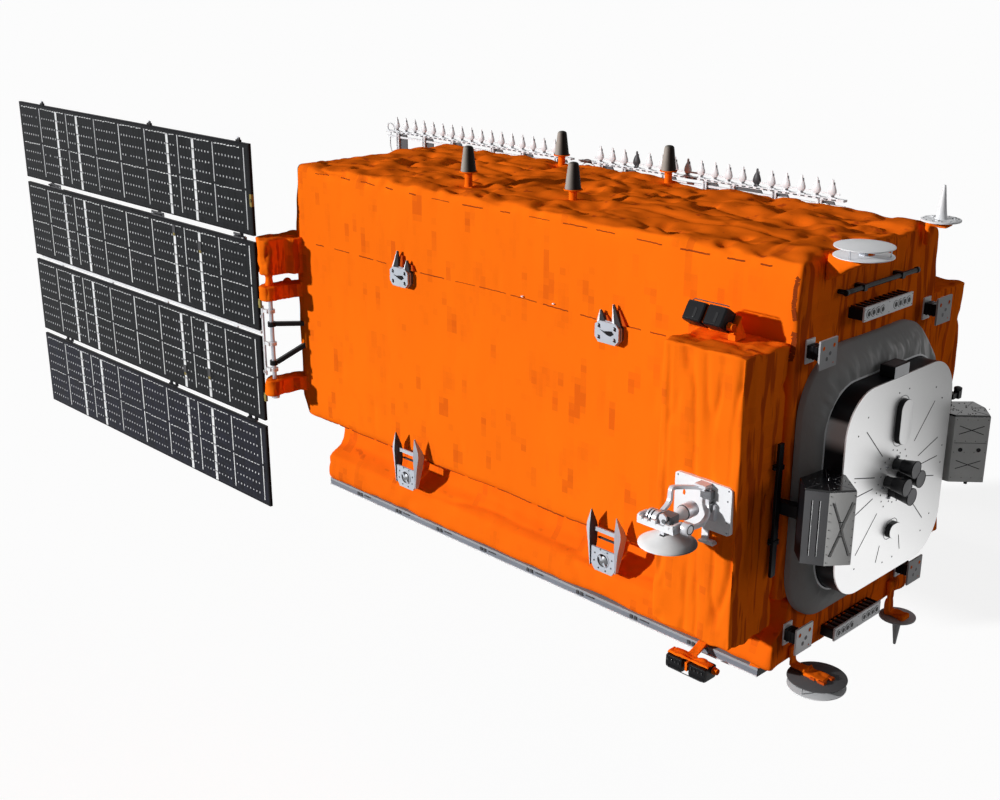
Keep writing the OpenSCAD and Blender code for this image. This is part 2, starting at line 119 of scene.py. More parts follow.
class Finish:
    """One procedural material, or the world's own."""

    def __init__(self, name, world=False):
        self.material = (bpy.data.worlds if world else bpy.data.materials).new(name)
        self.material.use_nodes = True
        self.nodes = self.material.node_tree.nodes
        self.nodes.clear()
        self.out = self.nodes.new("ShaderNodeOutputWorld" if world else "ShaderNodeOutputMaterial")

    def node(self, kind, settings=None, inputs=(), out=0):
        """Adds a node: its settings first, then its sockets' values or links."""
        made = self.nodes.new(kind)
        for name, value in (settings or {}).items():
            setattr(made, name, value)
        pairs = inputs.items() if isinstance(inputs, dict) else enumerate(inputs)
        for key, value in pairs:
            self.feed(made.inputs[key], value)
        return Value(self, made.outputs[out])

    def feed(self, socket, value):
        if isinstance(value, Value):
            self.material.node_tree.links.new(value.socket, socket)
        elif isinstance(value, tuple) and socket.type == "RGBA":
            socket.default_value = (*value, 1)
        else:
            socket.default_value = value

    def place(self, stretch=(1, 1, 1)):
        where = self.node("ShaderNodeTexCoord", out="Object")
        return self.node("ShaderNodeVectorMath", {"operation": "MULTIPLY"}, [where, stretch])

    def parts(self):
        """The three coordinates in metres."""
        split = self.node("ShaderNodeSeparateXYZ", inputs=[self.place()])
        return [Value(self, o) for o in split.socket.node.outputs]

    def noise(self, size, stretch=(1, 1, 1), detail=3.0, step=None):
        """Cloudy noise from 0 to 1 with lumps of that size in metres; step makes it blocky."""
        where = self.place(stretch)
        if step:
            where = self.node("ShaderNodeVectorMath", {"operation": "SNAP"}, [where, step])
        inputs = {"Vector": where, "Scale": 1 / size, "Detail": detail}
        return self.node("ShaderNodeTexNoise", inputs=inputs)

    def blend(self, amount, first, second):
        settings = {"data_type": "RGBA", "clamp_factor": True}
        mixed = self.node("ShaderNodeMix", settings, {0: amount, 6: first, 7: second}, out=2)
        return mixed

    def bump(self, height, distance, strength=1.0):
        inputs = {"Height": height, "Distance": distance, "Strength": strength}
        return self.node("ShaderNodeBump", inputs=inputs)

    def surface(self, colour, rough, bump=None, metal=0.0, **fixed):
        inputs = {"Base Color": colour, "Roughness": rough, "Metallic": metal}
        inputs.update({name.replace("_", " "): value for name, value in fixed.items()})
        if bump is not None:
            inputs["Normal"] = bump
        shader = self.node("ShaderNodeBsdfPrincipled", inputs=inputs)
        self.feed(self.out.inputs["Surface"], shader)
        return self


def foil(name, lit, deep, dimple_shade_amount=0.3):
    """Crinkled wrap: broad tone changes, painted shade and fine creases: upright smudges of painted dimple
    shade, dark pleat streaks on faces turned to +X, and a darker top, deeper in its pits, all painted shade.
    """
    f = Finish(name)
    # upright blocky smudges: painted shade of small dimples
    dimple_shade = f.noise(0.095, (1, 0.3, 0.30), 3.0, (0.046, 0.1, 0.013)).ramp(0.57, 0.70) * 0.9
    small = f.noise(0.20, (1, 0.3, 0.5), 4.0, (0.03, 0.1, 0.02)).ramp(0.56, 0.74) * 0.45
    cloud = f.noise(0.9, detail=2.0).ramp(0.3, 0.75)
    facing = f.node("ShaderNodeNewGeometry", out="Normal")
    split = f.node("ShaderNodeSeparateXYZ", inputs=[facing]).socket.node
    # faces turned to +X and the top are darkened below: painted shade
    front, crown = (Value(f, split.outputs[k]).ramp(0.55, 0.95) for k in (0, 2))
    pleat = f.noise(0.05, (1, 1, 0.12), 2.0).ramp(0.50, 0.60)
    pit = f.noise(0.10, (1, 1.3, 1), 3.0).ramp(0.60, 0.72)
    painted_shade = (dimple_shade.most(small) * dimple_shade_amount).most(front * pleat * 0.85).most(crown * (pit * 0.75 + 0.22))
    colour = f.blend(painted_shade, f.blend(cloud * 0.12, lit, deep), deep)
    crease = abs(f.noise(0.22, (1, 1, 0.6), 3.0) - 0.5)
    fine = f.noise(0.035, (1, 1, 0.6), 3.0)
    bump = f.bump(crease * 1.5 + fine * 0.12, 0.010, 0.4)
    return f.surface(colour, cloud * 0.14 + 0.56, bump, Specular_IOR_Level=0.0)


def paint(name, tone, rough=0.45, grain=0.004, level=0.3, shade=0.82, metal=0.0):
    """Painted or bare metal with faint clouding, small marks and a fine grain."""
    f = Finish(name)
    cloud = f.noise(0.21, detail=4.0)
    speck = f.noise(0.012, detail=2.0).ramp(0.64, 0.72)
    darker = tuple(c * shade for c in tone)
    colour = f.blend((cloud.ramp(0.35, 0.75) * 0.6 + speck * 0.4), tone, darker)
    bump = f.bump(f.noise(grain, detail=2.0), 0.0006, 0.3)
    return f.surface(colour, cloud * 0.16 + (rough - 0.08), bump, metal, Specular_IOR_Level=level)


def direction_shaded(name, tone, dark, low, high, rough=0.45):
    """Satin shell with painted shade: light on faces turned to -X and -Y, dark on faces turned to +X and +Y,
    towards the instrument end.
    """
    f = Finish(name)
    facing = f.node("ShaderNodeNewGeometry", out="Normal")
    split = f.node("ShaderNodeSeparateXYZ", inputs=[facing]).socket.node.outputs
    turned = (Value(f, split[0]) + Value(f, split[1])) * 0.5
    cloud = f.noise(0.06, detail=3.0)
    side = turned.ramp(low, high)
    colour = f.blend(side, f.blend(cloud * 0.2, tone, dark), dark)
    return f.surface(colour, cloud * 0.15 + rough, f.bump(f.noise(0.004, detail=2.0), 0.0004, 0.3),
                     Specular_IOR_Level=0.05)


def brushed(name, tone, rough=0.32, metal=0.9):
    """Machined metal with a drawn grain."""
    f = Finish(name)
    grain = f.noise(0.006, (0.15, 1, 1), 3.0)
    cloud = f.noise(0.15, detail=3.0)
    colour = f.blend(grain * 0.35 + cloud * 0.25, tone, tuple(c * 0.62 for c in tone))
    return f.surface(colour, grain * 0.12 + (rough - 0.04), f.bump(grain, 0.0005, 0.4), metal)


def cell_glass(name, tone, gleam):
    """Rows of dark cells, each a shade apart, with a hairline round each."""
    f = Finish(name)
    x, _, z = f.parts()
    across, up = x / 0.0421, z / 0.0831
    cell = f.node("ShaderNodeCombineXYZ", inputs=[across.whole(), up.whole(), 0.0])
    chance = f.node("ShaderNodeTexWhiteNoise", {"noise_dimensions": "3D"}, {"Vector": cell})
    rim = (abs(across.fraction() - 0.5) > 0.475).most(abs(up.fraction() - 0.5) > 0.485)
    colour = f.blend(chance * 0.9, tone, gleam)
    colour = f.blend(rim * 0.5, colour, (0.028, 0.028, 0.032))
    rough = chance * 0.1 + 0.3
    return f.surface(colour, rough, f.bump(rim, 0.0004, 0.4), Specular_IOR_Level=0.05)


def weave(name, tone):
    """Woven carbon sheet over a honeycomb core."""
    f = Finish(name)
    x, _, z = f.parts()
    cloth = ((x / 0.009).whole() + (z / 0.009).whole()) * 0.5
    over = cloth.fraction() * 2
    core = {"Vector": f.place(), "Scale": 70.0}
    combs = f.node("ShaderNodeTexVoronoi", {"feature": "DISTANCE_TO_EDGE"}, core)
    colour = f.blend(over * 0.5 + f.noise(0.2) * 0.3, tone, tuple(c * 1.9 for c in tone))
    return f.surface(colour, over * 0.1 + 0.35, f.bump(combs, 0.0008, 0.3), Specular_IOR_Level=0.02)


orange_foil = foil("orange_foil", (0.98, 0.170, 0.006), (0.52, 0.066, 0.008), 0.5)
keel_foil = foil("keel_foil", (0.95, 0.152, 0.006), (0.42, 0.06, 0.008), 0.45)
# dark brown lines: seam threads, and painted shade where used under the body's lower edge and at the front
# corner
seam_and_shade_thread = foil("seam_and_shade_thread", (0.30, 0.05, 0.01), (0.09, 0.02, 0.008))
# a darker copy of the orange foil: painted shade
shaded_orange_foil = foil("shaded_orange_foil", (0.55, 0.08, 0.01), (0.30, 0.045, 0.01))
grey_cloth = foil("grey_cloth", (0.36, 0.36, 0.36), (0.25, 0.25, 0.25))
white_enamel = paint("white_enamel", (0.84, 0.85, 0.87), 0.4)
grey_enamel = paint("grey_enamel", (0.40, 0.40, 0.41), 0.45, level=0.1)
dark_enamel = paint("dark_enamel", (0.06, 0.06, 0.065), 0.4, level=0.15)
black_enamel = paint("black_enamel", (0.005, 0.005, 0.006), 0.35, level=0.10, shade=1.6)
black_gloss = paint("black_gloss", (0.004, 0.004, 0.005), 0.14, level=0.4, shade=1.8)
silver_metal = brushed("silver_metal", (0.50, 0.52, 0.57), 0.42, 0.6)
dark_metal = brushed("dark_metal", (0.16, 0.165, 0.175), 0.42, 0.7)
gold_metal = brushed("gold_metal", (0.45, 0.36, 0.12), 0.4, 0.7)
cell_sheet = cell_glass("cell_sheet", (0.008, 0.009, 0.010), (0.013, 0.014, 0.016))
cell_sheet_blue = cell_glass("cell_sheet_blue", (0.009, 0.0095, 0.014), (0.015, 0.016, 0.026))
carbon_sheet = weave("carbon_sheet", (0.010, 0.010, 0.0115))
bright_strip = paint("bright_strip", (0.86, 0.87, 0.88), 0.35, shade=0.7)
dull_strip = paint("dull_strip", (0.66, 0.67, 0.69), 0.4, level=0.1, shade=0.6)

# ---------------------------------------------------------------- shapes


def rounded(wide, high, radius, count, middle=(0, 0)):
    """Points evenly round a rectangle with rounded corners, from its top middle."""
    corner, line = 24, []
    for k, (sx, sy) in enumerate([(1, 1), (1, -1), (-1, -1), (-1, 1)]):
        for i in range(corner + 1):
            angle = math.radians(90 - 90 * k - 90 * i / corner)
            line.append((sx * (wide / 2 - radius) + radius * math.cos(angle),
                         sy * (high / 2 - radius) + radius * math.sin(angle)))
    line = np.array([(0, high / 2), *line, (0, high / 2)])
    steps = np.concatenate([[0], np.cumsum(np.linalg.norm(np.diff(line, axis=0), axis=1))])
    along = np.linspace(0, steps[-1], count, endpoint=False)
    return [(np.interp(s, steps, line[:, 0]) + middle[0],
             np.interp(s, steps, line[:, 1]) + middle[1]) for s in along]


def circle(radius, count, height=0.0, start=0.0):
    turn = 2 * math.pi / count
    return [(radius * math.cos(start + i * turn), radius * math.sin(start + i * turn), height)
            for i in range(count)]


class Shape:
    """A mesh in millimetres that grows part by part, each in the finish last picked."""

    def __init__(self, finish):
        self.mesh, self.finishes, self.pick = bmesh.new(), [], 0
        self.paint(finish)

    def paint(self, finish):
        if finish not in self.finishes:
            self.finishes.append(finish)
        self.pick = self.finishes.index(finish)
        return self

    def loft(self, rings, place=None, caps=True, closed=False):
        """Skins rings of equal count, with flat ends."""
        made = [[self.mesh.verts.new(place @ Vector(p) if place else Vector(p)) for p in ring]
                for ring in rings]
        pairs = list(zip(made, made[1:])) + ([(made[-1], made[0])] if closed else [])
        faces = []
        for low, high in pairs:
            for i in range(len(low)):
                j = (i + 1) % len(low)
                faces.append(self.mesh.faces.new((low[i], low[j], high[j], high[i])))
        if caps and not closed:
            faces.append(self.mesh.faces.new(made[0][::-1]))
            faces.append(self.mesh.faces.new(made[-1]))
        for face in faces:
            face.material_index = self.pick
        return self

    def prism(self, outline, low, high, axis="z", place=None, taper=1.0):
        """Pulls a flat outline along an axis; its end may be smaller."""
        middle = [sum(p[k] for p in outline) / len(outline) for k in (0, 1)]
        order = {"x": lambda a, b, c: (c, a, b), "y": lambda a, b, c: (a, c, b),
                 "z": lambda a, b, c: (a, b, c)}[axis]
        rings = []
        for level, size in ((low, 1.0), (high, taper)):
            rings.append([order(middle[0] + (a - middle[0]) * size,
                                middle[1] + (b - middle[1]) * size, level) for a, b in outline])
        return self.loft(rings, place)

    def box(self, low, high, place=None, taper=1.0):
        outline = [(low[0], low[1]), (high[0], low[1]), (high[0], high[1]), (low[0], high[1])]
        return self.prism(outline, low[2], high[2], "z", place, taper)

    def spin(self, profile, place, count=32):
        """Turns (radius, height) steps about the place's own Z."""
        return self.loft([circle(max(r, 0.05), count, h) for r, h in profile], place)

    def tube(self, path, radius, count=12, place=None):
        """Sweeps a round bar along points."""
        line = [Vector(p) for p in path]
        side, rings = None, []
        for i, point in enumerate(line):
            ahead = (line[min(i + 1, len(line) - 1)] - line[max(i - 1, 0)]).normalized()
            side = ahead.orthogonal() if side is None else side - ahead * side.dot(ahead)
            side.normalize()
            over = ahead.cross(side)
            rings.append([point + side * x * radius + over * y * radius
                          for x, y, _ in circle(1.0, count)])
        return self.loft(rings, place)

    def piece(self, name, body="bus", slot=None, stands_for=(), edge=0.0, sharp=38):
        """Closes the mesh, and hangs it on its body, if it has one."""
        bmesh.ops.recalc_face_normals(self.mesh, faces=self.mesh.faces)
        for vert in self.mesh.verts:
            vert.co = at(*vert.co)
        data = bpy.data.meshes.new(name)
        self.mesh.to_mesh(data)
        self.mesh.free()
        return finish_piece(name, data, self.finishes, body, stands_for, edge, sharp)


def finish_piece(name, data, finishes, body, stands_for=(), edge=0.0, sharp=38):
    made = bpy.data.objects.new(name, data)
    bpy.context.scene.collection.objects.link(made)
    for finish in finishes:
        data.materials.append(finish.material)
    data.shade_smooth()
    data.set_sharp_from_angle(angle=math.radians(sharp))
    if edge:
        rounding = made.modifiers.new("edges", "BEVEL")
        rounding.width, rounding.segments, rounding.limit_method = edge / 1000, 2, "ANGLE"
        rounding.angle_limit, rounding.harden_normals = math.radians(sharp), True
    if body:
        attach(made, body)
    if stands_for:
        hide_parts(*stands_for)
    return made


def dress(finish, slot, *nodes, edge=0.0):
    """Gives CAD nodes a finish, and softens their edges."""
    for name in nodes:
        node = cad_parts[name]
        if not node.material_slots:
            node.data.materials.append(finish.material)
        for place in node.material_slots:
            place.material = finish.material
        if edge:
            rounding = node.modifiers.new("edges", "BEVEL")
            rounding.width, rounding.segments = edge / 1000, 2
            rounding.limit_method, rounding.angle_limit = "ANGLE", math.radians(30)


# ---------------------------------------------------------------- blankets


def ripple(points, size, seed=0):
    """Smooth noise from -1 to 1 at each point; size may differ along X, Y and Z."""
    scaled = points / np.array(size, float)
    cell = np.floor(scaled).astype(np.int64)
    part = scaled - cell
    part = part ** 3 * (part * (part * 6 - 15) + 10)
    total = np.zeros(len(points))
    for k in range(8):
        step = np.array([k & 1, k >> 1 & 1, k >> 2 & 1])
        a, b, c = (cell + step).T
        mixed = (a * 73856093) ^ (b * 19349663) ^ (c * 83492791) ^ (seed * 40503 + 977)
        mixed = ((mixed ^ (mixed >> 13)) * 1274126177) & 0xFFFFFFFF
        value = ((mixed >> 7) & 0xFFFF) / 32767.5 - 1
        total += value * np.prod(np.where(step, part, 1 - part), axis=1)
    return total


def settle(points, links, times):
    """Moves every point towards the middle of its neighbours."""
    count = np.bincount(links.ravel(), minlength=len(points)).reshape(-1, 1)
    for _ in range(times):
        total = np.zeros_like(points)
        for k in range(3):
            total[:, k] += np.bincount(links[:, 0], points[links[:, 1], k], len(points))
            total[:, k] += np.bincount(links[:, 1], points[links[:, 0], k], len(points))
        points = points * 0.4 + total / count * 0.6
    return points


def wrap(name, node, cell, ease, relief, finish, body="bus", pull=None):
    """Drapes a blanket over a CAD node: an even net, eased corners, then folds along its normals."""
    source = bpy.data.objects.new(name + "_form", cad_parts[node].data.copy())
    bpy.context.scene.collection.objects.link(source)
    net = source.modifiers.new("net", "REMESH")
    net.mode, net.voxel_size, net.adaptivity = "VOXEL", cell / 1000, 0.0
    graph = bpy.context.evaluated_depsgraph_get()
    data = bpy.data.meshes.new_from_object(source.evaluated_get(graph), depsgraph=graph)
    bpy.data.objects.remove(source)
    data.materials.clear()
    if "custom_normal" in data.attributes:
        data.attributes.remove(data.attributes["custom_normal"])
    count = len(data.vertices)
    points, links = np.zeros(count * 3), np.zeros(len(data.edges) * 2, np.int64)
    data.vertices.foreach_get("co", points)
    data.edges.foreach_get("vertices", links)
    points, links = settle(points.reshape(-1, 3), links.reshape(-1, 2), ease), links.reshape(-1, 2)
    if pull:
        points = points + pull(points) / 1000
    data.vertices.foreach_set("co", points.ravel())
    data.update()
    out = np.zeros(count * 3)
    data.vertices.foreach_get("normal", out)
    out = settle(out.reshape(-1, 3), links, 6)
    out /= np.linalg.norm(out, axis=1).reshape(-1, 1)
    points = settle(points + out * (relief(points, out) / 1000).reshape(-1, 1), links, 1)
    data.vertices.foreach_set("co", points.ravel())
    data.update()
    return finish_piece(name, data, [finish], body, (node,), sharp=180)


def body_folds(points, out):
    side, top, end = abs(out[:, 1]), np.maximum(out[:, 2], 0), abs(out[:, 0])
    broad = ripple(points, (0.9, 0.6, 0.8), 1) * 4
    upright = ripple(points, (0.19, 0.3, 0.6), 2) * 4 + ripple(points, (0.08, 0.2, 0.3), 3) * 1.3
    dents = -13 * np.clip(ripple(points, (0.075, 0.5, 0.24), 4) - 0.5, 0, 1)
    rolling = ripple(points, (0.30, 0.24, 0.4), 6) * 22 + ripple(points, (0.12, 0.10, 0.2), 7) * 16
    creases = -26 * np.clip(0.16 - abs(ripple(points, (0.42, 0.20, 0.5), 21)), 0, 1) * 5
    pits = -70 * np.clip(ripple(points, (0.11, 0.09, 0.3), 22) - 0.38, 0, 1)
    pleats = -20 * np.clip(0.22 - abs(ripple(points, (0.5, 0.10, 1.2), 8)), 0, 1) * 4
    hang = ripple(points, (0.3, 0.075, 0.55), 9) * 5
    corner = 1 - np.maximum(np.maximum(side, abs(out[:, 2])), end)
    puff = ripple(points, (0.34, 0.30, 0.30), 10) * 46 + ripple(points, (0.13, 0.12, 0.12), 23) * 16
    return (broad + side * (upright + dents) + top * (rolling + creases + pits) + end * (pleats + hang)
            + corner * (puff + 16) - 6)


def slump(points):
    """The near back corner hangs out past the end, more so low down."""
    back = np.clip(1 - (points[:, 0] - body_low.x) / 0.42, 0, 1) ** 2
    near = np.clip((-0.2 - points[:, 1]) / 0.4, 0, 1)
    up = points[:, 2] - body_low.z
    low_down = np.clip((1.75 - up) / 0.6, 0, 1) * np.clip((up - 0.05) / 0.12, 0, 1)
    moved = np.zeros_like(points)
    moved[:, 0] = -back * near * (62 + 62 * low_down)
    moved[:, 1] = -back * near * 8
    return moved


def locker_folds(points, out):
    side, top = abs(out[:, 1]), abs(out[:, 2])
    upright = ripple(points, (0.06, 0.08, 0.5), 11) * 4
    pleats = -18 * np.clip(0.2 - abs(ripple(points, (0.085, 0.07, 0.6), 12)), 0, 1) * 5
    lumps = ripple(points, (0.13, 0.1, 0.16), 13) * 4
    crumple = ripple(points, (0.09, 0.07, 0.1), 24) * 10 - 14 * np.clip(
        0.2 - abs(ripple(points, (0.11, 0.08, 0.1), 25)), 0, 1) * 4
    spots = -12 * np.clip(ripple(points, (0.05, 0.3, 0.12), 14) - 0.5, 0, 1) * 2
    corner = 1 - np.maximum(np.maximum(side, top), abs(out[:, 0]))
    edge = corner * (ripple(points, (0.12, 0.12, 0.16), 15) * 34 - 2)
    return upright + pleats * (1 - top) + lumps + spots * side + top * crumple + edge - 5


def keel_folds(points, out):
    skirt = np.clip((body_high.z - 2.18 - points[:, 2]) / 0.13, 0, 1) * abs(out[:, 1]) * 20
    broad = ripple(points, (0.3, 0.3, 0.16), 16) * 7
    small = ripple(points, (0.09, 0.1, 0.08), 17) * 4
    pull = -14 * np.clip(0.2 - abs(ripple(points, (0.5, 0.3, 0.11), 18)), 0, 1) * 4
    return broad + small + pull + skirt - 5


def small_folds(points, out):
    """Crumpled tape and foil on brackets and arms."""
    lumps = ripple(points, (0.07, 0.07, 0.07), 19) * 8
    creases = -14 * np.clip(0.22 - abs(ripple(points, (0.075, 0.06, 0.06), 20)), 0, 1) * 2
    return lumps + creases + 1


body_blanket = wrap("body_blanket", "bus_body", 20, 7, body_folds, orange_foil, pull=slump)
wrap("keel_blanket", "lower_keel", 22, 2, keel_folds, keel_foil)
for side in ("near", "far"):
    wrap(f"{side}_locker_blanket", f"{side}_locker", 13, 5, locker_folds, orange_foil)
for node, name, cell in (("upper_disc_bracket", "upper_disc_wedge", 8),
                         ("upper_cone_arm", "upper_cone_wrap", 7),
                         ("lower_disc_bracket", "lower_disc_wrap", 6),
                         ("lower_cone_arm", "lower_cone_wrap", 7),
                         ("upper_thruster_bracket", "upper_thruster_wrap", 5),
                         ("lower_thruster_bracket", "lower_thruster_wrap", 5),
                         ("drive_box", "drive_wrap", 9),
                         ("upper_hinge_arm", "upper_arm_wrap", 8),
                         ("lower_hinge_arm", "lower_arm_wrap", 8)):
    wrap(name, node, cell, 2, small_folds, orange_foil)

# ---------------------------------------------------------------- solar wing

wing_low, wing_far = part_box("bottom_panel")[0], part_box("upper_middle_panel")[1]
panel_gap, panel_thick = 47, 22
wing_foot = (wing_low.z - body_high.z) * 1000 + body_top
wing_crown = (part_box("top_panel")[1].z - body_high.z) * 1000 + body_top
panel_height = (wing_crown - wing_foot - 3 * panel_gap) / 4
wing_tip = (wing_low.x - body_low.x) * 1000
wing_root = (wing_far.x - body_low.x) * 1000
wing_back = wing_far.y * 1000
wing_face = wing_back - panel_thick
CELL_GROUPS = (480, 480, 400, 400, 480, 480, 400)
panel_length, first_border = 3560, 160
THIN_LINES = [first_border - panel_length + sum(CELL_GROUPS[:k]) for k in range(len(CELL_GROUPS) + 1)]
strip_start, strip_repeat, strip_gap = -3100, 1790, 360
WIDE_LINES = [start + gap for start in (strip_start, strip_start + strip_repeat) for gap in (0, strip_gap)]
CELL_ROWS, TICK_STEP = 8, 42.1


def wing_panel(node, body, row, glass):
    """Cells, strips and solder ticks on one panel's near face, and its edge frame."""
    low = wing_foot + row * (panel_height + panel_gap)
    high = low + panel_height
    chance = np.random.default_rng(40 + row)
    cells = Shape(glass)
    cells.box((wing_tip + 14, wing_face - 1.2, low + 12), (wing_root - 14, wing_face + 2, high - 12))
    cells.piece(f"{node}_cells", body, "solar_cells", edge=0.6)
    strips, ticks = Shape(bright_strip), Shape(dull_strip)
    middle, step = low + panel_height / 2, panel_height * 0.1175

    def lay(shape, x, z, wide, tall):
        shape.box((x - wide / 2, wing_face - 2.4, z - tall / 2),
                  (x + wide / 2, wing_face - 0.8, z + tall / 2))

    for x in THIN_LINES:
        wide = 12 if x == THIN_LINES[3] else 9
        lay(strips if row != 3 else ticks, x, (middle + high) / 2 - 12, wide, panel_height / 2 - 42)
        lay(strips if row != 3 else ticks, x, (middle + low) / 2 + 14, wide, panel_height / 2 - 48)
    rows = [high - panel_height * (0.055 + 0.1175 * k) for k in range(CELL_ROWS)]
    for x in WIDE_LINES:
        for k, z in enumerate(rows):
            lay(strips, x + chance.normal(0, 0.8), z - step / 2 + 4, 32, step - 6)
            lay(strips, x + chance.uniform(-12, 12), z - 2, 22, 9)
    borders = (wing_tip + 16, *THIN_LINES)
    for left, right in zip(borders, borders[1:]):
        for x in np.arange(left + 40, right - 26, TICK_STEP):
            if any(abs(x - wide) < 27 for wide in WIDE_LINES):
                continue
            for k, z in enumerate(rows):
                if k % (CELL_ROWS // 2) == 0:
                    lay(strips, x, z + chance.normal(0, 1.5), 30, 5)
                    lay(strips, x + 9, z + 3, 6, 5)
                elif chance.random() > 0.015:
                    lay(ticks, x, z, 10, 13 + chance.normal(0, 1.5))
    strips.piece(f"{node}_strips", body, "silver_metal")
    ticks.piece(f"{node}_ticks", body, "silver_metal")


for row, (node, body, glass) in enumerate((("bottom_panel", "bottom_flap", cell_sheet_blue),
                                           ("lower_middle_panel", "wing", cell_sheet),
                                           ("upper_middle_panel", "wing", cell_sheet),
                                           ("top_panel", "top_flap", cell_sheet))):
    wing_panel(node, body, row, glass)
    dress(carbon_sheet, "black_paint", node)
dress(silver_metal, "silver_metal", "fold_hinge_pins", "hinge_tube", "launch_ring")
dress(gold_metal, "gold_metal", "panel_edge_brackets")
dress(white_enamel, "white_paint", "wing_root_bar", "wing_tie_bars")
dress(black_enamel, "black_paint", "hinge_struts")

# ---------------------------------------------------------------- body fittings


def rivets(shape, places, radius=3, tall=1.6, count=8):
    """Low round heads; each place is a matrix whose Z points out of the surface."""
    for place in places:
        shape.spin([(radius, -1), (radius, tall * 0.5), (radius * 0.6, tall)], place, count)


def repaint(shape, finish, test):
    """Gives another finish to the faces whose middle and normal pass a test."""
    shape.mesh.normal_update()
    bmesh.ops.recalc_face_normals(shape.mesh, faces=shape.mesh.faces)
    shape.paint(finish)
    for face in shape.mesh.faces:
        if test(face.calc_center_median(), face.normal):
            face.material_index = shape.pick


def bar_on(shape, start, end, wide, tall, out, back=1.0):
    """A thin raised line between two points of a flat face whose normal is out."""
    start, end, out = Vector(start), Vector(end), Vector(out).normalized()
    along = (end - start).normalized()
    side = along.cross(out) * wide / 2
    ring = [[p + side - out * back, p - side - out * back, p - side + out * tall, p + side + out * tall]
            for p in (start, end)]
    shape.loft(ring)


# base rail: pale flange with notches over a grooved channel, black across the front
slate = paint("slate", (0.12, 0.12, 0.125), 0.45, level=0.1)
steel = paint("steel", (0.20, 0.215, 0.25), 0.4, level=0.2)
pale_flange = paint("pale_flange", (0.34, 0.35, 0.37), 0.45, level=0.1)
rail = Shape(silver_metal)
rail_end, rail_side = body_length - 90, half_width + 15
rail.paint(pale_flange).box((232, -rail_side, 24), (rail_end, rail_side, 39))
for s in (-1, 1):
    rail.paint(steel).box((232, min(s * rail_side, s * 704), 8), (rail_end, max(s * rail_side, s * 704), 25))
    rail.paint(white_enamel).box((232, min(s * 738, s * 712), -14), (rail_end, max(s * 738, s * 712), -7))
    rail.paint(steel).box((234, min(s * 731, s * 714), -8), (rail_end - 2, max(s * 731, s * 714), 9))
    rail.paint(dark_enamel)
    for k in range(8):
        x = 560 + k * 441
        for dx in (0, 34):
            rail.box((x + dx, min(s * 737, s * 725), 2), (x + dx + 22, max(s * 737, s * 725), 26))
        rail.box((x + 80, min(s * 736, s * 725), 14), (x + 150, max(s * 736, s * 725), 22))
rail.paint(black_enamel).box((rail_end - 1, -rail_side, -12), (rail_end + 3, rail_side, 36))
rail.piece("keel_rail", slot="silver_metal", stands_for=["base_rail"], edge=1.2)
corner = Shape(orange_foil)
corner.loft([[(4085, -735, 36), (4150, -720, 36), (4150, -640, 36)],
             [(4110, -724, 120), (4140, -712, 110), (4142, -670, 130)]])
corner.piece("keel_corner", slot="orange_blanket", edge=4)

# seams: a broken dark line along the side, another along the roof's edge, and lines of painted shade under the
# body's lower edge and at the front corner
net = bmesh.new()
net.from_mesh(body_blanket.data)
skin = BVHTree.FromBMesh(net)
net.free()


def stitch(name, run, look, finish, wide=5, gaps=0.3, seed=3, lift=1.2):
    """Short strips that hug the blanket along a run of points, seen from the look side."""
    chance, shape = np.random.default_rng(seed), Shape(finish)
    look = Vector(look)
    found = []
    for point in run:
        start = at(*point) + look * 0.3
        hit = skin.ray_cast(start, -look)
        found.append(hit[0])
    left, shown, strength = 0, True, 1.0
    for a, b in zip(found, found[1:]):
        if not left:
            shown = not shown
            left, strength = int(chance.integers(4, 14) * (1 - gaps if shown else gaps) * 2) + 1, chance.random()
        left -= 1
        if a is None or b is None or not shown:
            continue
        mm = [Vector(((p.x - body_low.x) * 1000, p.y * 1000,
                      (p.z - body_high.z) * 1000 + body_top)) for p in (a, b)]
        bar_on(shape, mm[0], mm[1], wide * (0.45 + strength * 0.7), lift, look, 3)
    return shape.piece(name, slot="orange_blanket")


wander = np.random.default_rng(5)
side_run = [(x, -half_width,
             1822 + 5 * math.sin(x / 260) + wander.normal(0, 0.8)) for x in range(30, 3640, 14)]
stitch("side_seam", side_run, (0, -1, 0), seam_and_shade_thread, 7, 0.36)
roof_run = [(x, -half_width,
             2336 + 6 * math.sin(x / 330) + wander.normal(0, 0.8)) for x in range(60, 4120, 14)]
stitch("roof_seam", roof_run, (0, -1, 0), seam_and_shade_thread, 8, 0.48, 6)
body_foot = (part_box("bus_body")[0].z - body_high.z) * 1000 + body_top
# a dark line along the body's lower edge: painted shade under the edge
foot_run = [(x, -half_width,
             body_foot + 26 + 4 * math.sin(x / 150) + wander.normal(0, 1.5)) for x in range(60, 3620, 14)]
stitch("body_foot_shade_line", foot_run, (0, -1, 0), seam_and_shade_thread, 15, 0.14, 18)
locker_run = [(3634 + 5 * math.sin(z / 190) + wander.normal(0, 0.7), -half_width,
               z) for z in range(1820, 380, -14)]
stitch("locker_seam", locker_run, (0, -1, 0), seam_and_shade_thread, 11, 0.16, 8)
gap_tone = foil("gap_tone", (0.05, 0.010, 0.004), (0.02, 0.005, 0.002))
for first, last, seed in ((1290, 1060, 12), (1080, 900, 14)):
    gap_run = [(3640 + 7 * math.sin(z / 31) + wander.normal(0, 2), -half_width,
                z) for z in range(first, last, -9)]
    stitch(f"locker_gap_{seed}", gap_run, (0, -1, 0), gap_tone, 26, 0.45, seed)
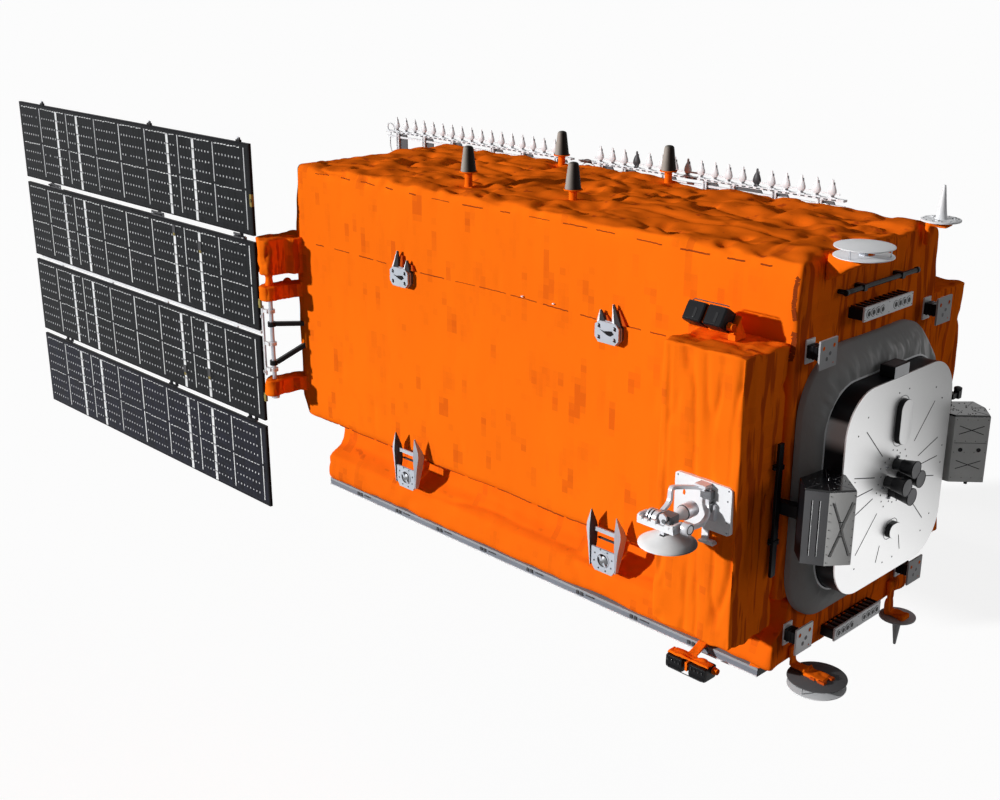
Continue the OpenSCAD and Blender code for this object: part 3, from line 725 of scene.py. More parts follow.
# a dark broken band at the near front corner: painted shade of the crumpled corner
corner_run = [(4196 + 9 * math.sin(z / 60) + wander.normal(0, 3), -half_width,
               z) for z in range(2350, 1850, -12)]
stitch("corner_shade_band", corner_run, (0.3, -1, 0), seam_and_shade_thread, 26, 0.22, 9)
specks = Shape(white_enamel)
for x, z in ((2245, 1836), (2510, 1840)):
    specks.box((x, -724, z), (x + 16, -700, z + 7))
specks.piece("side_specks", slot="white_paint", edge=1)

# padded collar round the end plate, gathered towards the plate
plate_mid, face_x = 1090, body_length + 237
tubes_y, tubes_z = -30, 1098


def gathered_cloth():
    """Grey cloth with painted highlights: pale upright streaks on the gathers above the plate."""
    f = Finish("gathered_cloth")
    _, y, z = f.parts()
    reach = z.ramp(0.17, 0.26) * (1 - z.ramp(0.33, 0.43)) * y.ramp(-0.6, 0.25)
    fold_highlight = f.noise(0.052, (1, 1, 0.12), 1.0).ramp(0.46, 0.66)
    cloud = f.noise(0.4, detail=2.0)
    tone = f.blend(cloud * 0.3, (0.33, 0.33, 0.33), (0.24, 0.24, 0.24))
    tone = f.blend(reach * (fold_highlight * 0.62 + 0.10), tone, (0.95, 0.95, 0.95))
    fine = f.noise(0.03, (1, 1, 0.5), 3.0)
    return f.surface(tone, cloud * 0.1 + 0.7, f.bump(fine, 0.004, 0.5), Specular_IOR_Level=0.05)


def gathered_collar():
    around, across = 420, 26
    outer = rounded(1330, 1600, 370, around, (0, plate_mid - 5))
    inner = rounded(1126, 1206, 252, around, (0, plate_mid))
    shape, rings = Shape(gathered_cloth()), []
    marks = np.array([(y / 1000, z / 1000, 0) for y, z in inner])
    fine = ripple(marks, (0.034, 0.034, 1), 31) + 0.5 * ripple(marks, (0.015, 0.015, 1), 32)
    slow = ripple(marks, (0.19, 0.19, 1), 33)
    for j in range(across + 1):
        t = j / across
        swell = 12 + 98 * math.sin(math.pi * min(t * 0.62 + 0.03, 0.5)) ** 0.8 + 8 * t
        if t > 0.93:
            swell -= 12 * ((t - 0.93) / 0.07) ** 2
        pull = math.sin(math.pi * min(max(t - 0.25, 0) / 0.75, 1)) ** 1.2
        ring = []
        for i in range(around):
            (oy, oz), (iy, iz) = outer[i], inner[i]
            high = 0.35 + 0.65 * min(max((iz - plate_mid) / 500, 0), 1)
            fold = pull * high * (fine[i] * 12 + slow[i] * 6)
            ease = t ** 0.9
            ring.append((body_length - 2 + swell + fold - 3, oy + (iy - oy) * ease, oz + (iz - oz) * ease))
        rings.append(ring)
    back = [[(body_length - 8, y, z) for y, z in inner], [(body_length - 8, y, z) for y, z in outer]]
    shape.loft(rings + back, caps=False, closed=True)
    made = shape.piece("gathered_collar", slot="grey_blanket", stands_for=["soft_collar"], sharp=70)


gathered_collar()
rim = Shape(white_enamel)
trim = [rounded(1134 + g, 1214 + g, 254 + g / 2, 240, (0, plate_mid)) for g in (-6, 14)]
rim.loft([[(body_length + 98, *p) for p in trim[0]], [(body_length + 116, *p) for p in trim[0]],
          [(body_length + 114, *p) for p in trim[1]], [(body_length + 98, *p) for p in trim[1]]], caps=False,
          closed=True)
rim.piece("collar_rim", slot="grey_blanket", edge=1)

# end plate: glossy black sides with two pale bands of painted reflection, and a satin face with painted shade
# and fine radial grooves


def black_with_painted_reflections():
    f = Finish("black_with_painted_reflections")
    # two pale bands round the black sides: painted reflections
    z = f.parts()[2]
    upper = z.ramp(-0.06, 0.03) * (1 - z.ramp(0.10, 0.13))
    lower = z.ramp(-0.24, -0.23) * (1 - z.ramp(-0.22, -0.17))
    tone = f.blend(upper.most(lower) * 0.9, (0.003, 0.003, 0.004), (0.75, 0.75, 0.75))
    grain = f.noise(0.01, (1, 1, 0.3), 2.0)
    return f.surface(tone, grain * 0.1 + 0.3, f.bump(grain, 0.0005, 0.3), Specular_IOR_Level=0.12)


dress(black_with_painted_reflections(), "black_paint", "end_plate_body", edge=3)


def satin_plate():
    f = Finish("satin_plate")
    _, y, z = f.parts()
    # white at the lower near corner, dark grey towards the upper far corner: painted shade
    painted_shade_slope = (y * 0.75 + (z + 0.335) * 0.80).ramp(-0.50, 0.95)
    tone = f.blend(painted_shade_slope, (1.0, 1.0, 1.0), (0.22, 0.22, 0.22))
    grain = f.noise(0.006, (1, 0.2, 1), 3.0)
    cloud = f.noise(0.2) * 0.08
    tone = f.blend(cloud + grain * 0.05, tone, (0.3, 0.3, 0.3))
    return f.surface(tone, grain * 0.1 + 0.34, f.bump(grain, 0.0003, 0.3), 0.95)


satin = satin_plate()
face = Shape(satin)
outline = rounded(1120, 1200, 250, 120, (0, plate_mid))
face.loft([[(face_x - 12, *p) for p in outline], [(face_x, *p) for p in outline]])
face.piece("plate_face", slot="white_paint", stands_for=["end_plate_face"], edge=2.5)
marks = Shape(black_enamel)
groove_start, side_groove, corner_groove, foot_groove = 240, 220, 270, 100


def on_plate(angle, reach):
    """A point on the plate's face, so far from its middle, at an angle from the far side."""
    return (face_x, reach * math.cos(math.radians(angle)), plate_mid + reach * math.sin(math.radians(angle)))


fans = [(side + turn, groove_start, side_groove) for side in (0, 180) for turn in (-15, 0, 15)]
fans += [(corner, groove_start, corner_groove) for corner in (45, 135, 225, 315)]
fans += [(270 + turn, 400, foot_groove) for turn in (-15, 15)]
for angle, near, run in fans:
    bar_on(marks, on_plate(angle, near), on_plate(angle, near + run), 5, 0.9, (1, 0, 0))
pairs = [(45 * k + turn, 570 if k % 2 else 510) for k in range(8) for turn in (-6, 6)]
dots = [spot(*on_plate(angle, reach), pitch=90) for angle, reach in pairs]
for k in range(22):
    angle, ring_reach = math.radians(20 + k * 16), 140 + k % 3 * 16
    dots.append(spot(face_x, tubes_y + ring_reach * math.cos(angle), tubes_z + ring_reach * math.sin(angle),
                     pitch=90))
rivets(marks, dots, 5, 1.8)
marks.piece("plate_marks", slot="black_paint")

block = Shape(black_enamel)
low, high = Vector((body_length + 147, -128, 1692)), Vector((body_length + 238, 24, 1758))
block.box(low, high)
repaint(block, white_enamel, lambda c, n: n.x > 0.7)
block.paint(dark_enamel).box((low.x + 12, low.y + 14, high.z - 1), (high.x - 14, high.y - 14, high.z + 1.5))
block.piece("plate_block", slot="black_paint", stands_for=["end_plate_block"], edge=2)

covers = Shape(black_enamel)
for wide, tall, radius, y, z, out in ((120, 262, 59, -5, 1424, 34), (118, 84, 40, 0, 775, 34)):
    line = rounded(wide, tall, radius, 72, (y, z))
    covers.paint(dark_metal)
    rings = [rounded(wide + g, tall + g, radius + g / 2, 72, (y, z)) for g in (34, 26)]
    covers.loft([[(face_x - 1, *p) for p in rings[0]], [(face_x + 1.2, *p) for p in rings[0]],
                 [(face_x + 1.2, *p) for p in rings[1]], [(face_x - 1, *p) for p in rings[1]]], caps=False,
                 closed=True)
    covers.paint(black_enamel).loft([[(face_x - 1, *p) for p in line],
                                     [(face_x + out - 4, *p) for p in line]])
    lid = rounded(wide - 4, tall - 4, radius - 2, 72, (y, z))
    crown = rounded(wide - 16, tall - 16, radius - 8, 72, (y, z))
    # the lids carry the plate's painted shade too
    covers.paint(satin).loft([[(face_x + out - 5, *p) for p in lid], [(face_x + out - 1.5, *p) for p in lid],
                                     [(face_x + out, *p) for p in crown]])
covers.piece("plate_covers", slot="white_paint", stands_for=["oval_covers"], edge=0.8)

tubes = Shape(black_enamel)
for y, z in ((-20, 1175), (43, 1103), (-100, 1092), (-38, 1020)):
    place = spot(face_x, y, z, pitch=90)
    tubes.paint(black_enamel)
    tubes.spin([(34, 0), (34, 10), (32, 12), (36, 44), (38, 46), (38, 52), (37, 54), (49, 122),
                (51, 124), (51, 130), (48, 130), (45, 118), (32, 60), (32, 40), (0.1, 40)], place, 44)
    tubes.paint(grey_enamel).spin([(49.8, 128.6), (50.8, 130.4), (50.2, 130.8), (49.2, 129)], place, 44)
    tubes.paint(dark_enamel).spin([(20, 57), (20, 62), (14, 64), (0.1, 66)], place, 24)
tubes.paint(dark_metal)
for k in range(6):
    angle = math.radians(k * 60 + 15)
    pad_y, pad_z = tubes_y + 118 * math.cos(angle), tubes_z + 118 * math.sin(angle)
    tubes.box((face_x - 1, pad_y - 9, pad_z - 6), (face_x + 9, pad_y + 9, pad_z + 6))
tubes.piece("star_hoods", slot="black_paint", stands_for=["star_tubes"])

# six-sided sensor boxes: grey sheet faces, black lid, floor and back


pale_sheet = paint("pale_sheet", (0.62, 0.62, 0.61), 0.5, level=0.1)


def sensor_housing(name, node, s, back, out):
    low, high = 870 + out, 1290 + out
    ring = [(231, 191), (339, 135), (428, 23), (278, -113), (152, -117), (128, 87)]
    line = [(body_length - back + x, s * (half_width + out + y)) for x, y in ring]
    middle = Vector((sum(p[0] for p in line) / 6, sum(p[1] for p in line) / 6))
    shape = Shape(pale_sheet).prism(line, low + 2, high - 10)
    # the near box's face turned towards +X and -Y is slate grey: painted shade
    if s < 0:
        repaint(shape, slate, lambda c, n: 0.2 < n.x < 0.6 and n.y < -0.6)
    repaint(shape, black_enamel, lambda c,
            n: abs(n.z) > 0.7 or n.x < 0.25 and abs(n.y) < 0.98 and c.x < middle.x + 30)
    shape.paint(black_gloss).prism(line, high - 11, high, taper=0.97)
    chance = np.random.default_rng(9)
    heads = [spot(middle.x + chance.uniform(-70, 110), middle.y + chance.uniform(-90, 90),
                  high) for _ in range(30)]
    rivets(shape, heads, 4, 3, 6)
    shape.paint(dark_enamel)
    for k in range(5):
        a = middle.lerp(Vector(line[k]), 0.3)
        b = middle.lerp(Vector(line[k]), 0.9)
        bar_on(shape, (a.x, a.y, high), (b.x, b.y, high), 3, 1, (0, 0, 1))

    def on_face(k, u, z):
        """A point on the face after corner k, u along it, and its outward normal."""
        a, b = Vector(line[k]), Vector(line[(k + 1) % 6])
        p = a.lerp(b, u)
        n = Vector(((b - a).y, -(b - a).x)).normalized()
        n = n if n.dot(p - middle) > 0 else -n
        return Vector((p.x, p.y, z)), Vector((n.x, n.y, 0))

    def mark(k, *points, wide=4):
        for (u0, z0), (u1, z1) in zip(points, points[1:]):
            start, n = on_face(k, u0, z0)
            bar_on(shape, start, on_face(k, u1, z1)[0], wide, 1.5, n)

    shape.paint(black_enamel)
    if s < 0:
        for u in (0.30, 0.62):
            mark(0, (u, low + 50), (u, high - 60), wide=5)
            shape.paint(bright_strip)
            mark(0, (u + 0.045, low + 50), (u + 0.045, high - 60), wide=2.5)
            shape.paint(black_enamel)
        for way in (0, 1):
            z = (lambda v: low + v) if way == 0 else (lambda v: high - 10 - v)
            mark(1, (0.14, z(55)), (0.42, z(165)), (0.58, z(165)), (0.86, z(55)))
            mark(1, (0.42, z(165)), (0.50, z(205)), (0.58, z(165)), wide=3)
        edges = [(1, u, z) for u in (0.06, 0.94) for z in np.linspace(low + 20, high - 30, 9)]
    else:
        for centre in (low + 112, high - 92):
            for way in (-1, 1):
                mark(1, (0.12, centre - 26 * way), (0.42, centre - 3 * way), (0.58, centre + 3 * way),
                     (0.88, centre + 26 * way))
                mark(2, (0.15, centre - 26 * way), (0.85, centre + 26 * way))
        for k in (1, 2):
            mark(k, (0.04, high - 172), (0.96, high - 172), wide=2)
        for u in (0.24, 0.76):
            point, n = on_face(2, u, high - 215)
            hole = Matrix.Translation(point) @ n.to_track_quat("Z", "Y").to_matrix().to_4x4()
            shape.spin([(13, -2), (13, 1.5), (0.1, 1.8)], hole, 20)
        edges = [(k, u, z) for k in (1, 2) for u in (0.06, 0.36, 0.64,
                                                     0.94) for z in (low + 30, low + 190, high - 160,
                                                                     high - 28)]
        for k, u in ((1, 0.2), (2, 0.5), (0, 0.5)):
            point, n = on_face(k, u, low)
            shape.box((point.x - 8, point.y - 8, low - 8), (point.x + 8, point.y + 8, low + 3))
    places = []
    for k, u, z in edges:
        point, n = on_face(k, u, z)
        places.append(Matrix.Translation(point) @ n.to_track_quat("Z", "Y").to_matrix().to_4x4())
    rivets(shape, places, 2.6, 1.4, 6)
    shape.piece(name, slot="grey_paint", stands_for=[node], edge=1.2, sharp=30)


sensor_housing("near_sensor_housing", "near_sensor_box", -1, 0, 0)
sensor_housing("far_sensor_housing", "far_sensor_box", 1, 30, 12)
dress(black_enamel, "black_paint", "sensor_struts", edge=1.5)

knob = Shape(black_enamel)
knob.box((body_length + 190, 590, 1398),
         (body_length + 232, 640, 1432)).box((body_length + 205, 640, 1392), (body_length + 240, 676, 1440))
knob.spin([(20, 0), (24, 4), (24, 18), (12, 24), (0.1, 25)], spot(body_length + 222, 658, 1438), 20)
knob.spin([(9, 0), (9, 40), (14, 42), (14, 50), (4, 54)], spot(body_length + 205, 610, 1402, tip=180), 16)
knob.piece("side_knob", slot="black_paint", edge=1.5)

# holed plates on black stubs, with a white pad on the body behind
plates, stubs = Shape(white_enamel), Shape(black_enamel)
for y in (-600, 600):
    for z in (255, 1905):
        plates.box((body_length + 101, y - 80, z - 72), (body_length + 112, y + 80, z + 84))
        stubs.paint(black_enamel).box((body_length - 4, y - 34, z - 34), (body_length + 101, y + 34, z + 34))
        for k in range(4):
            x = body_length + 18 + k * 22
            stubs.box((x, y - 37, z - 37), (x + 5, y + 37, z + 37))
        plates.paint(white_enamel).box((body_length - 6, y - 36, z - 70), (body_length + 3, y + 42, z + 62))
        for dy, dz in ((-48, 42), (48, 44), (14, 6), (-14, -20), (48, -50)):
            radius = 5 if dz == -50 else 12
            hole = spot(body_length + 111, y + dy, z + dz, pitch=90)
            plates.paint(orange_foil if dz > 30 or dz == -50 else dark_enamel)
            plates.spin([(radius, 0), (radius, 1.7), (0.1, 1.9)], hole, 24)
            plates.paint(grey_enamel).spin([(radius + 1.6, 0), (radius + 1.6, 1.6), (radius, 1.6)], hole, 24)
plates.piece("holed_plates", slot="white_paint", stands_for=["lifting_plates"], edge=1)
stubs.piece("plate_stubs", slot="black_paint", stands_for=["lifting_stubs"], edge=1)

for z, name, node in ((2005, "upper_connectors", "upper_connector_block"),
                      (98, "lower_connectors", "lower_connector_block")):
    sockets = Shape(black_enamel)
    sockets.box((body_length - 6, -243, z + 2), (body_length + 80, 243, z + 60))
    for k in range(11):
        y = -240 + k * 47
        sockets.paint(black_gloss).box((body_length + 2, y, z + 4), (body_length + 84, y + 9, z + 73))
        if k < 10 and k != 5:
            sockets.paint(dark_enamel).box((body_length + 24, y + 17, z + 58),
                                           (body_length + 76, y + 38, z + 68))
            sockets.paint(orange_foil).box((body_length + 6, y + 16, z + 58),
                                           (body_length + 16, y + 40, z + 66))
    sockets.paint(white_enamel).box((body_length + 84, -250, z - 3), (body_length + 95, 250, z + 77))
    for s in (-1, 1):
        for k in range(4):
            hole = spot(body_length + 95, s * (68 + k * 46), z + 37, pitch=90)
            sockets.paint(black_enamel).spin([(24, -1), (24, 1.2), (18, 1.3)], hole, 24)
            sockets.paint(white_enamel).spin([(21.5, 0), (21.5, 2.4), (14, 2.8)], hole, 24)
            sockets.paint(black_enamel).spin([(15, 0), (15, 3.2), (0.1, 3.4)], hole, 24)
    sockets.paint(dark_metal)
    rivets(sockets, [spot(body_length + 95, y, z + h, pitch=90) for y in (-242, 0, 242) for h in (8, 66)], 4,
           2)
    sockets.piece(name, slot="black_paint", stands_for=[node], edge=0.9)

guide = Shape(black_enamel)
guide.tube([(body_length - 4, -361, 2175), (body_length + 22, -361, 2175), (body_length + 34, -358, 2175),
            (body_length + 42, -346, 2175), (body_length + 42, -300, 2175), (body_length + 42, 375, 2175)],
            14, 20)
for y in (-195, 195):
    guide.box((body_length - 4, y - 16, 2157), (body_length + 60, y + 16, 2193))
    guide.box((body_length + 8, y - 22, 2168), (body_length + 20, y + 22, 2182))
for y in (-372, 352):
    guide.spin([(17, 0), (18, 2), (18, 18), (17, 20)], spot(body_length + 42, y, 2175, tip=-90), 20)
guide.piece("end_guide_tube", slot="black_paint", stands_for=["top_guide_tube"], edge=1.2)
side_bar = Shape(black_enamel)
front = body_length - 28
side_bar.box((front + 14, -815, 672), (front + 33, -775, 1438)).box((front + 12, -808, 664),
                                                                    (front + 28, -782, 674))
for z in (860, 1290):
    side_bar.box((front - 3, -821, z), (front + 39, -769, z + 26))
    side_bar.tube([(front + 20, -840, z + 13), (front + 20, -751, z + 13)], 7, 10)
side_bar.piece("side_bar", slot="black_paint", stands_for=["side_guide_bar"], edge=1.5)

# ---------------------------------------------------------------- antennas


def rounded_disc(shape, place, radius, thick=6):
    shape.spin([(radius - 3, 0), (radius - 0.8, 0.8), (radius, thick / 2), (radius - 0.8, thick - 0.8),
                (radius - 3, thick)], place, 72)


upper = Shape(white_enamel)
x, y = body_length + 172, -445
for z in (2405, 2455):
    upper.paint(white_enamel)
    rounded_disc(upper, spot(x, y, z), 155)
for angle in (30, 150, 270):
    px, py = x + 133 * math.cos(math.radians(angle)), y + 133 * math.sin(math.radians(angle))
    upper.paint(silver_metal).spin([(6, 0), (6, 3), (3.2, 4), (3.2, 43), (6, 44), (6, 48)],
                                   spot(px, py, 2409), 12)
upper.paint(silver_metal).box((x - 16, y - 18, 2410),
                              (x + 12, y + 18, 2440)).box((x - 34, y - 6, 2418), (x - 16, y + 6, 2432))
upper.spin([(20, 0), (20, 12), (10, 14), (10, 46)], spot(x, y, 2411), 24)
upper.piece("upper_discs", slot="white_paint", stands_for=["upper_disc_antenna"])

lower = Shape(slate)
x, y = body_length + 162, -515
rounded_disc(lower, spot(x, y, 0), 169)
for angle in (30, 150, 270):
    px, py = x + 147 * math.cos(math.radians(angle)), y + 147 * math.sin(math.radians(angle))
    lower.paint(grey_enamel).spin([(5, 0), (4, 2), (4, 46)], spot(px, py, -46), 12)
lower.paint(white_enamel)
rounded_disc(lower, spot(x, y, -50), 166)
lower.paint(grey_enamel).spin([(20, 0), (20, 44)], spot(x, y, -46), 24)
lower.piece("lower_discs", slot="grey_paint", stands_for=["lower_disc_antenna"])
# darker orange boxes on the lower disc: painted shade of its bracket
bracket_shade = Shape(shaded_orange_foil)
for px, py, wide, tall in ((0, 0, 90, 40), (0, 0, 36, 110), (62, 28, 52, 34), (58, -40, 46, 34),
                           (-54, -6, 30, 60)):
    bracket_shade.box((x + px - wide / 2, y + py - tall / 2, 4), (x + px + wide / 2, y + py + tall / 2, 20),
                taper=0.92)
bracket_shade.piece("lower_disc_bracket_shade", slot="orange_blanket", edge=3)

for z, way, tone, node, name in ((2430, 0, white_enamel, "upper_cone_antenna", "upper_horn"),
                                 (-40, 180, grey_enamel, "lower_cone_antenna", "lower_horn")):
    horn = Shape(tone)
    place = spot(body_length + 67, 530, z, tip=way)
    horn.spin([(104, 0), (111, 1), (112, 6), (111, 10), (106, 12), (60, 12)], place, 64)
    horn.spin([(36, 11), (34, 16), (32, 18), (24, 70), (9, 194), (7, 200), (3, 202)], place, 40)
    horn.paint(dark_enamel)
    rivets(horn, [place @ spot(94 * math.cos(a), 94 * math.sin(a), 12) for a in np.arange(12) * math.pi / 6],
           4, 2.5)
    horn.paint(tone)
    for k in range(3):
        angle = math.radians(40 + 120 * k)
        horn.box((70 * math.cos(angle) - 9, 70 * math.sin(angle) - 9, 12),
                 (70 * math.cos(angle) + 9, 70 * math.sin(angle) + 9, 17), place)
    horn.piece(name, slot="white_paint" if way == 0 else "grey_paint", stands_for=[node], edge=0)

ROOF_SPOTS = ((1503, -460, 0), (1347, 593, -24), (2345, -374, -17), (2292, 617, -26))
# the hood shells go near black on faces turned to +X and +Y: painted shade
beige_shell = direction_shaded("beige_shell", (0.40, 0.37, 0.33), (0.012, 0.010, 0.009), -0.62, 0.12)
hoods, stands = Shape(beige_shell), Shape(orange_foil)
for x, y, sunk in ROOF_SPOTS:
    hoods.spin([(50, 0), (51, 3), (50, 6), (33, 146), (31, 153), (27, 158), (20, 162), (10, 164.5),
                (0.1, 165)],
               spot(x, y, 2488 + sunk), 48)
    stands.spin([(30, -12), (26, 2), (24.5, 40), (26, 76), (40, 79), (57, 80), (59, 84), (57, 88), (30, 88)],
                spot(x, y, 2400 + sunk), 40)
hoods.piece("roof_hoods", slot="grey_paint", stands_for=["roof_cones"])
stands.piece("roof_stands", slot="orange_blanket", stands_for=["roof_cone_stands"])

# ---------------------------------------------------------------- feed racks
rack_mid, rack_rail = half_width + 42, body_top + 15


def feed_rack(x0, x1, posts):
    """A rail on posts; a post that stands over the body has a wall plate too."""
    shape = Shape(white_enamel)
    shape.box((x0, rack_mid - 22, rack_rail - 16), (x1, rack_mid + 22, rack_rail - 2))
    shape.box((x0, rack_mid - 22, rack_rail - 2), (x1, rack_mid - 17, rack_rail))
    shape.box((x0, rack_mid - 9, rack_rail - 56), (x1, rack_mid + 9, rack_rail - 41))
    shape.paint(dark_enamel)
    for x in np.arange(x0 + 90, x1 - 60, 55.5):
        shape.box((x, rack_mid - 22.8, rack_rail - 13), (x + 32, rack_mid - 18, rack_rail - 5))
    for x in posts:
        shape.paint(white_enamel)
        shape.box((x - 17, rack_mid - 21, rack_rail - 249), (x - 9, rack_mid + 9, rack_rail - 15))
        shape.box((x + 6, rack_mid - 21, rack_rail - 249), (x + 17, rack_mid + 9, rack_rail - 15))
        shape.box((x - 10, rack_mid - 4, rack_rail - 249), (x + 8, rack_mid + 8, rack_rail - 15))
        shape.spin([(6, 0), (6, 8), (3, 10)], spot(x - 2, rack_mid - 22, rack_rail - 60, tip=90), 10)
        shape.paint(slate)
        wide = 210 if x == 2720 else 84
        line = rounded(wide, 190, 26, 40, (x + 17 + wide / 2, rack_rail - 112))
        shape.prism(line, rack_mid - 5, rack_mid + 5, "y")
        shape.paint(dark_enamel)
        for dz in (-30, -64):
            shape.spin([(8, 0), (8, 2), (0.1, 2.5)], spot(x + 30, rack_mid - 5, rack_rail + dz, tip=90), 12)
        shape.paint(white_enamel)
        if x > 0:
            shape.box((x - 29, half_width - 14, rack_rail - 239), (x + 29, rack_mid - 9, rack_rail - 151))
    return shape


def bend(points):
    """Rounds a line of points into a smooth one."""
    line = [Vector(p) for p in points]
    for _ in range(2):
        cut = [line[0]]
        for a, b in zip(line, line[1:]):
            cut += [a.lerp(b, 0.25), a.lerp(b, 0.75)]
        line = [*cut, line[-1]]
    return line


rear = feed_rack(-766, 1300, (-630, -310, 25, 482, 803, 1150))
rear.tube(bend([(-740, rack_mid, rack_rail - 20), (-764, rack_mid - 8, rack_rail + 10),
                (-752, rack_mid - 14, rack_rail + 52),
                (-715, rack_mid - 12, rack_rail + 60), (-690, rack_mid, rack_rail + 30),
                (-690, rack_mid, rack_rail - 4)]), 5.5, 10)
rear.tube(bend([(-735, rack_mid + 6, rack_rail - 6), (-752, rack_mid + 4, rack_rail - 70),
                (-744, rack_mid, rack_rail - 160),
                (-700, rack_mid, rack_rail - 190), (-660, rack_mid, rack_rail - 200)]), 5, 10)
rear.piece("rear_rack", slot="white_paint", stands_for=["rear_feed_rack"], edge=0.8)
fore = feed_rack(1376, 3550, (1590, 1800, 2150, 2500, 2720, 3045, 3380))
for k in range(4):
    z, out = rack_rail - 20 - k * 17, -12 + k * 8
    fore.tube(bend([(1392, rack_mid + out, z), (1440, rack_mid + out, z + 30 - k * 4),
                    (1500 + k * 12, rack_mid + out, z + 22 - k * 8),
                    (1530 + k * 12, rack_mid + out, z - 40), (1524 + k * 12, rack_mid + out, z - 120)]), 4.5,
                    8)
for x in (3090, 3380):
    fore.tube(bend([(x, rack_mid - 16, rack_rail - 60), (x + 40, rack_mid - 18, rack_rail - 34),
                    (x + 80, rack_mid - 18, rack_rail - 50),
                    (x + 92, rack_mid - 16, rack_rail - 120), (x + 92, rack_mid - 16, rack_rail - 200)]), 5,
                    8)
fore.piece("fore_rack", slot="white_paint", stands_for=["front_feed_rack"], edge=0.8)


def feed_row(name, node, start, count, dark=()):
    shape = Shape(white_enamel)
    for k in range(count):
        place = spot(start + k * 111, rack_mid, rack_rail)
        tone = dark_enamel if k in dark else white_enamel
        flat = place @ Matrix.Diagonal((1.2, 0.7, 1.0, 1.0))
        shape.paint(tone).spin([(19, -2), (19, 6), (14, 9), (14, 14), (20, 20), (25, 32), (25, 44), (22, 56),
                                (17, 72), (11, 84), (7.5, 90), (7, 108), (4, 114)], flat, 24)
        shape.paint(slate)
        shape.box((9, -5, 64), (17, 5, 96), place, 0.6)
        shape.box((2, -12, 4), (17, -8, 18), place, 0.8)
        shape.paint(white_enamel).box((-30, -10, -2), (30, 10, 4), place)
        shape.box((-55, -3, 20), (-14, 3, 31), place).box((14, -3, 20), (56, 3, 31), place)
    shape.piece(name, slot="white_paint", stands_for=[node])


feed_row("rear_feeds", "rear_feed_elements", -654, 17)
feed_row("fore_feeds", "front_feed_elements", 1566, 18, (3, 12))

# ---------------------------------------------------------------- thrusters


def thruster_pair(name, node, x, y, z, tip, pitch, tall):
    """Two angular pods a finger apart, a thin guard over them and a wrapped stub."""
    shape = Shape(black_enamel)
    for dx in (0, pitch):
        place = spot(x + dx, y, z, tip=tip)
        shape.paint(black_enamel)
        rings = [rounded(114 + g, 106 + g, 6, 32) for g in (-6, 4, 6, 2, -12)]
        levels = (0, 6, tall - 6, tall + 12, tall + 18)
        shape.loft([[(*p, h) for p in ring] for ring, h in zip(rings, levels)], place)
        shape.paint(black_gloss).box((4, -36, tall + 16), (20, 18, tall + 20), place)
        for k in range(4):
            shape.box((-44 + k * 26, 52, tall * 0.3), (-34 + k * 26, 60, tall * 0.3 + 14), place)
        for angle in (0, 90, 180, 270):
            turned = place @ spot(turn=angle) @ spot(58, 0, tall * 0.5, pitch=90)
            rivets(shape, [turned @ spot(0, dy) for dy in (-34, 34)], 3, 3, 6)
    place = spot(x + pitch / 2, y, z, tip=tip)
    shape.paint(dark_enamel).tube([(-pitch / 2 - 40, 56, tall), (-pitch / 2 - 30, 66, tall + 4),
                                   (pitch / 2 + 40, 66, tall + 4),
                                  (pitch / 2 + 56, 64, tall)], 3, 8, place)
    shape.paint(orange_foil).box((-8, -46, 6), (8, 46, tall - 4), place)
    shape.spin([(20, 0), (22, 20), (18, 42), (0.1, 44)],
               place @ spot(pitch / 2 + 50, -24, tall * 0.4, pitch=90), 18)
    return shape.piece(name, slot="black_paint", stands_for=[node], edge=1.5, sharp=30)


thruster_pair("upper_thruster_pods", "upper_thrusters", 3768, -905, 2050, 58, 134, 82)
thruster_pair("lower_thruster_pods", "lower_thrusters", 3700, -870, 10, 180, 165, 66)

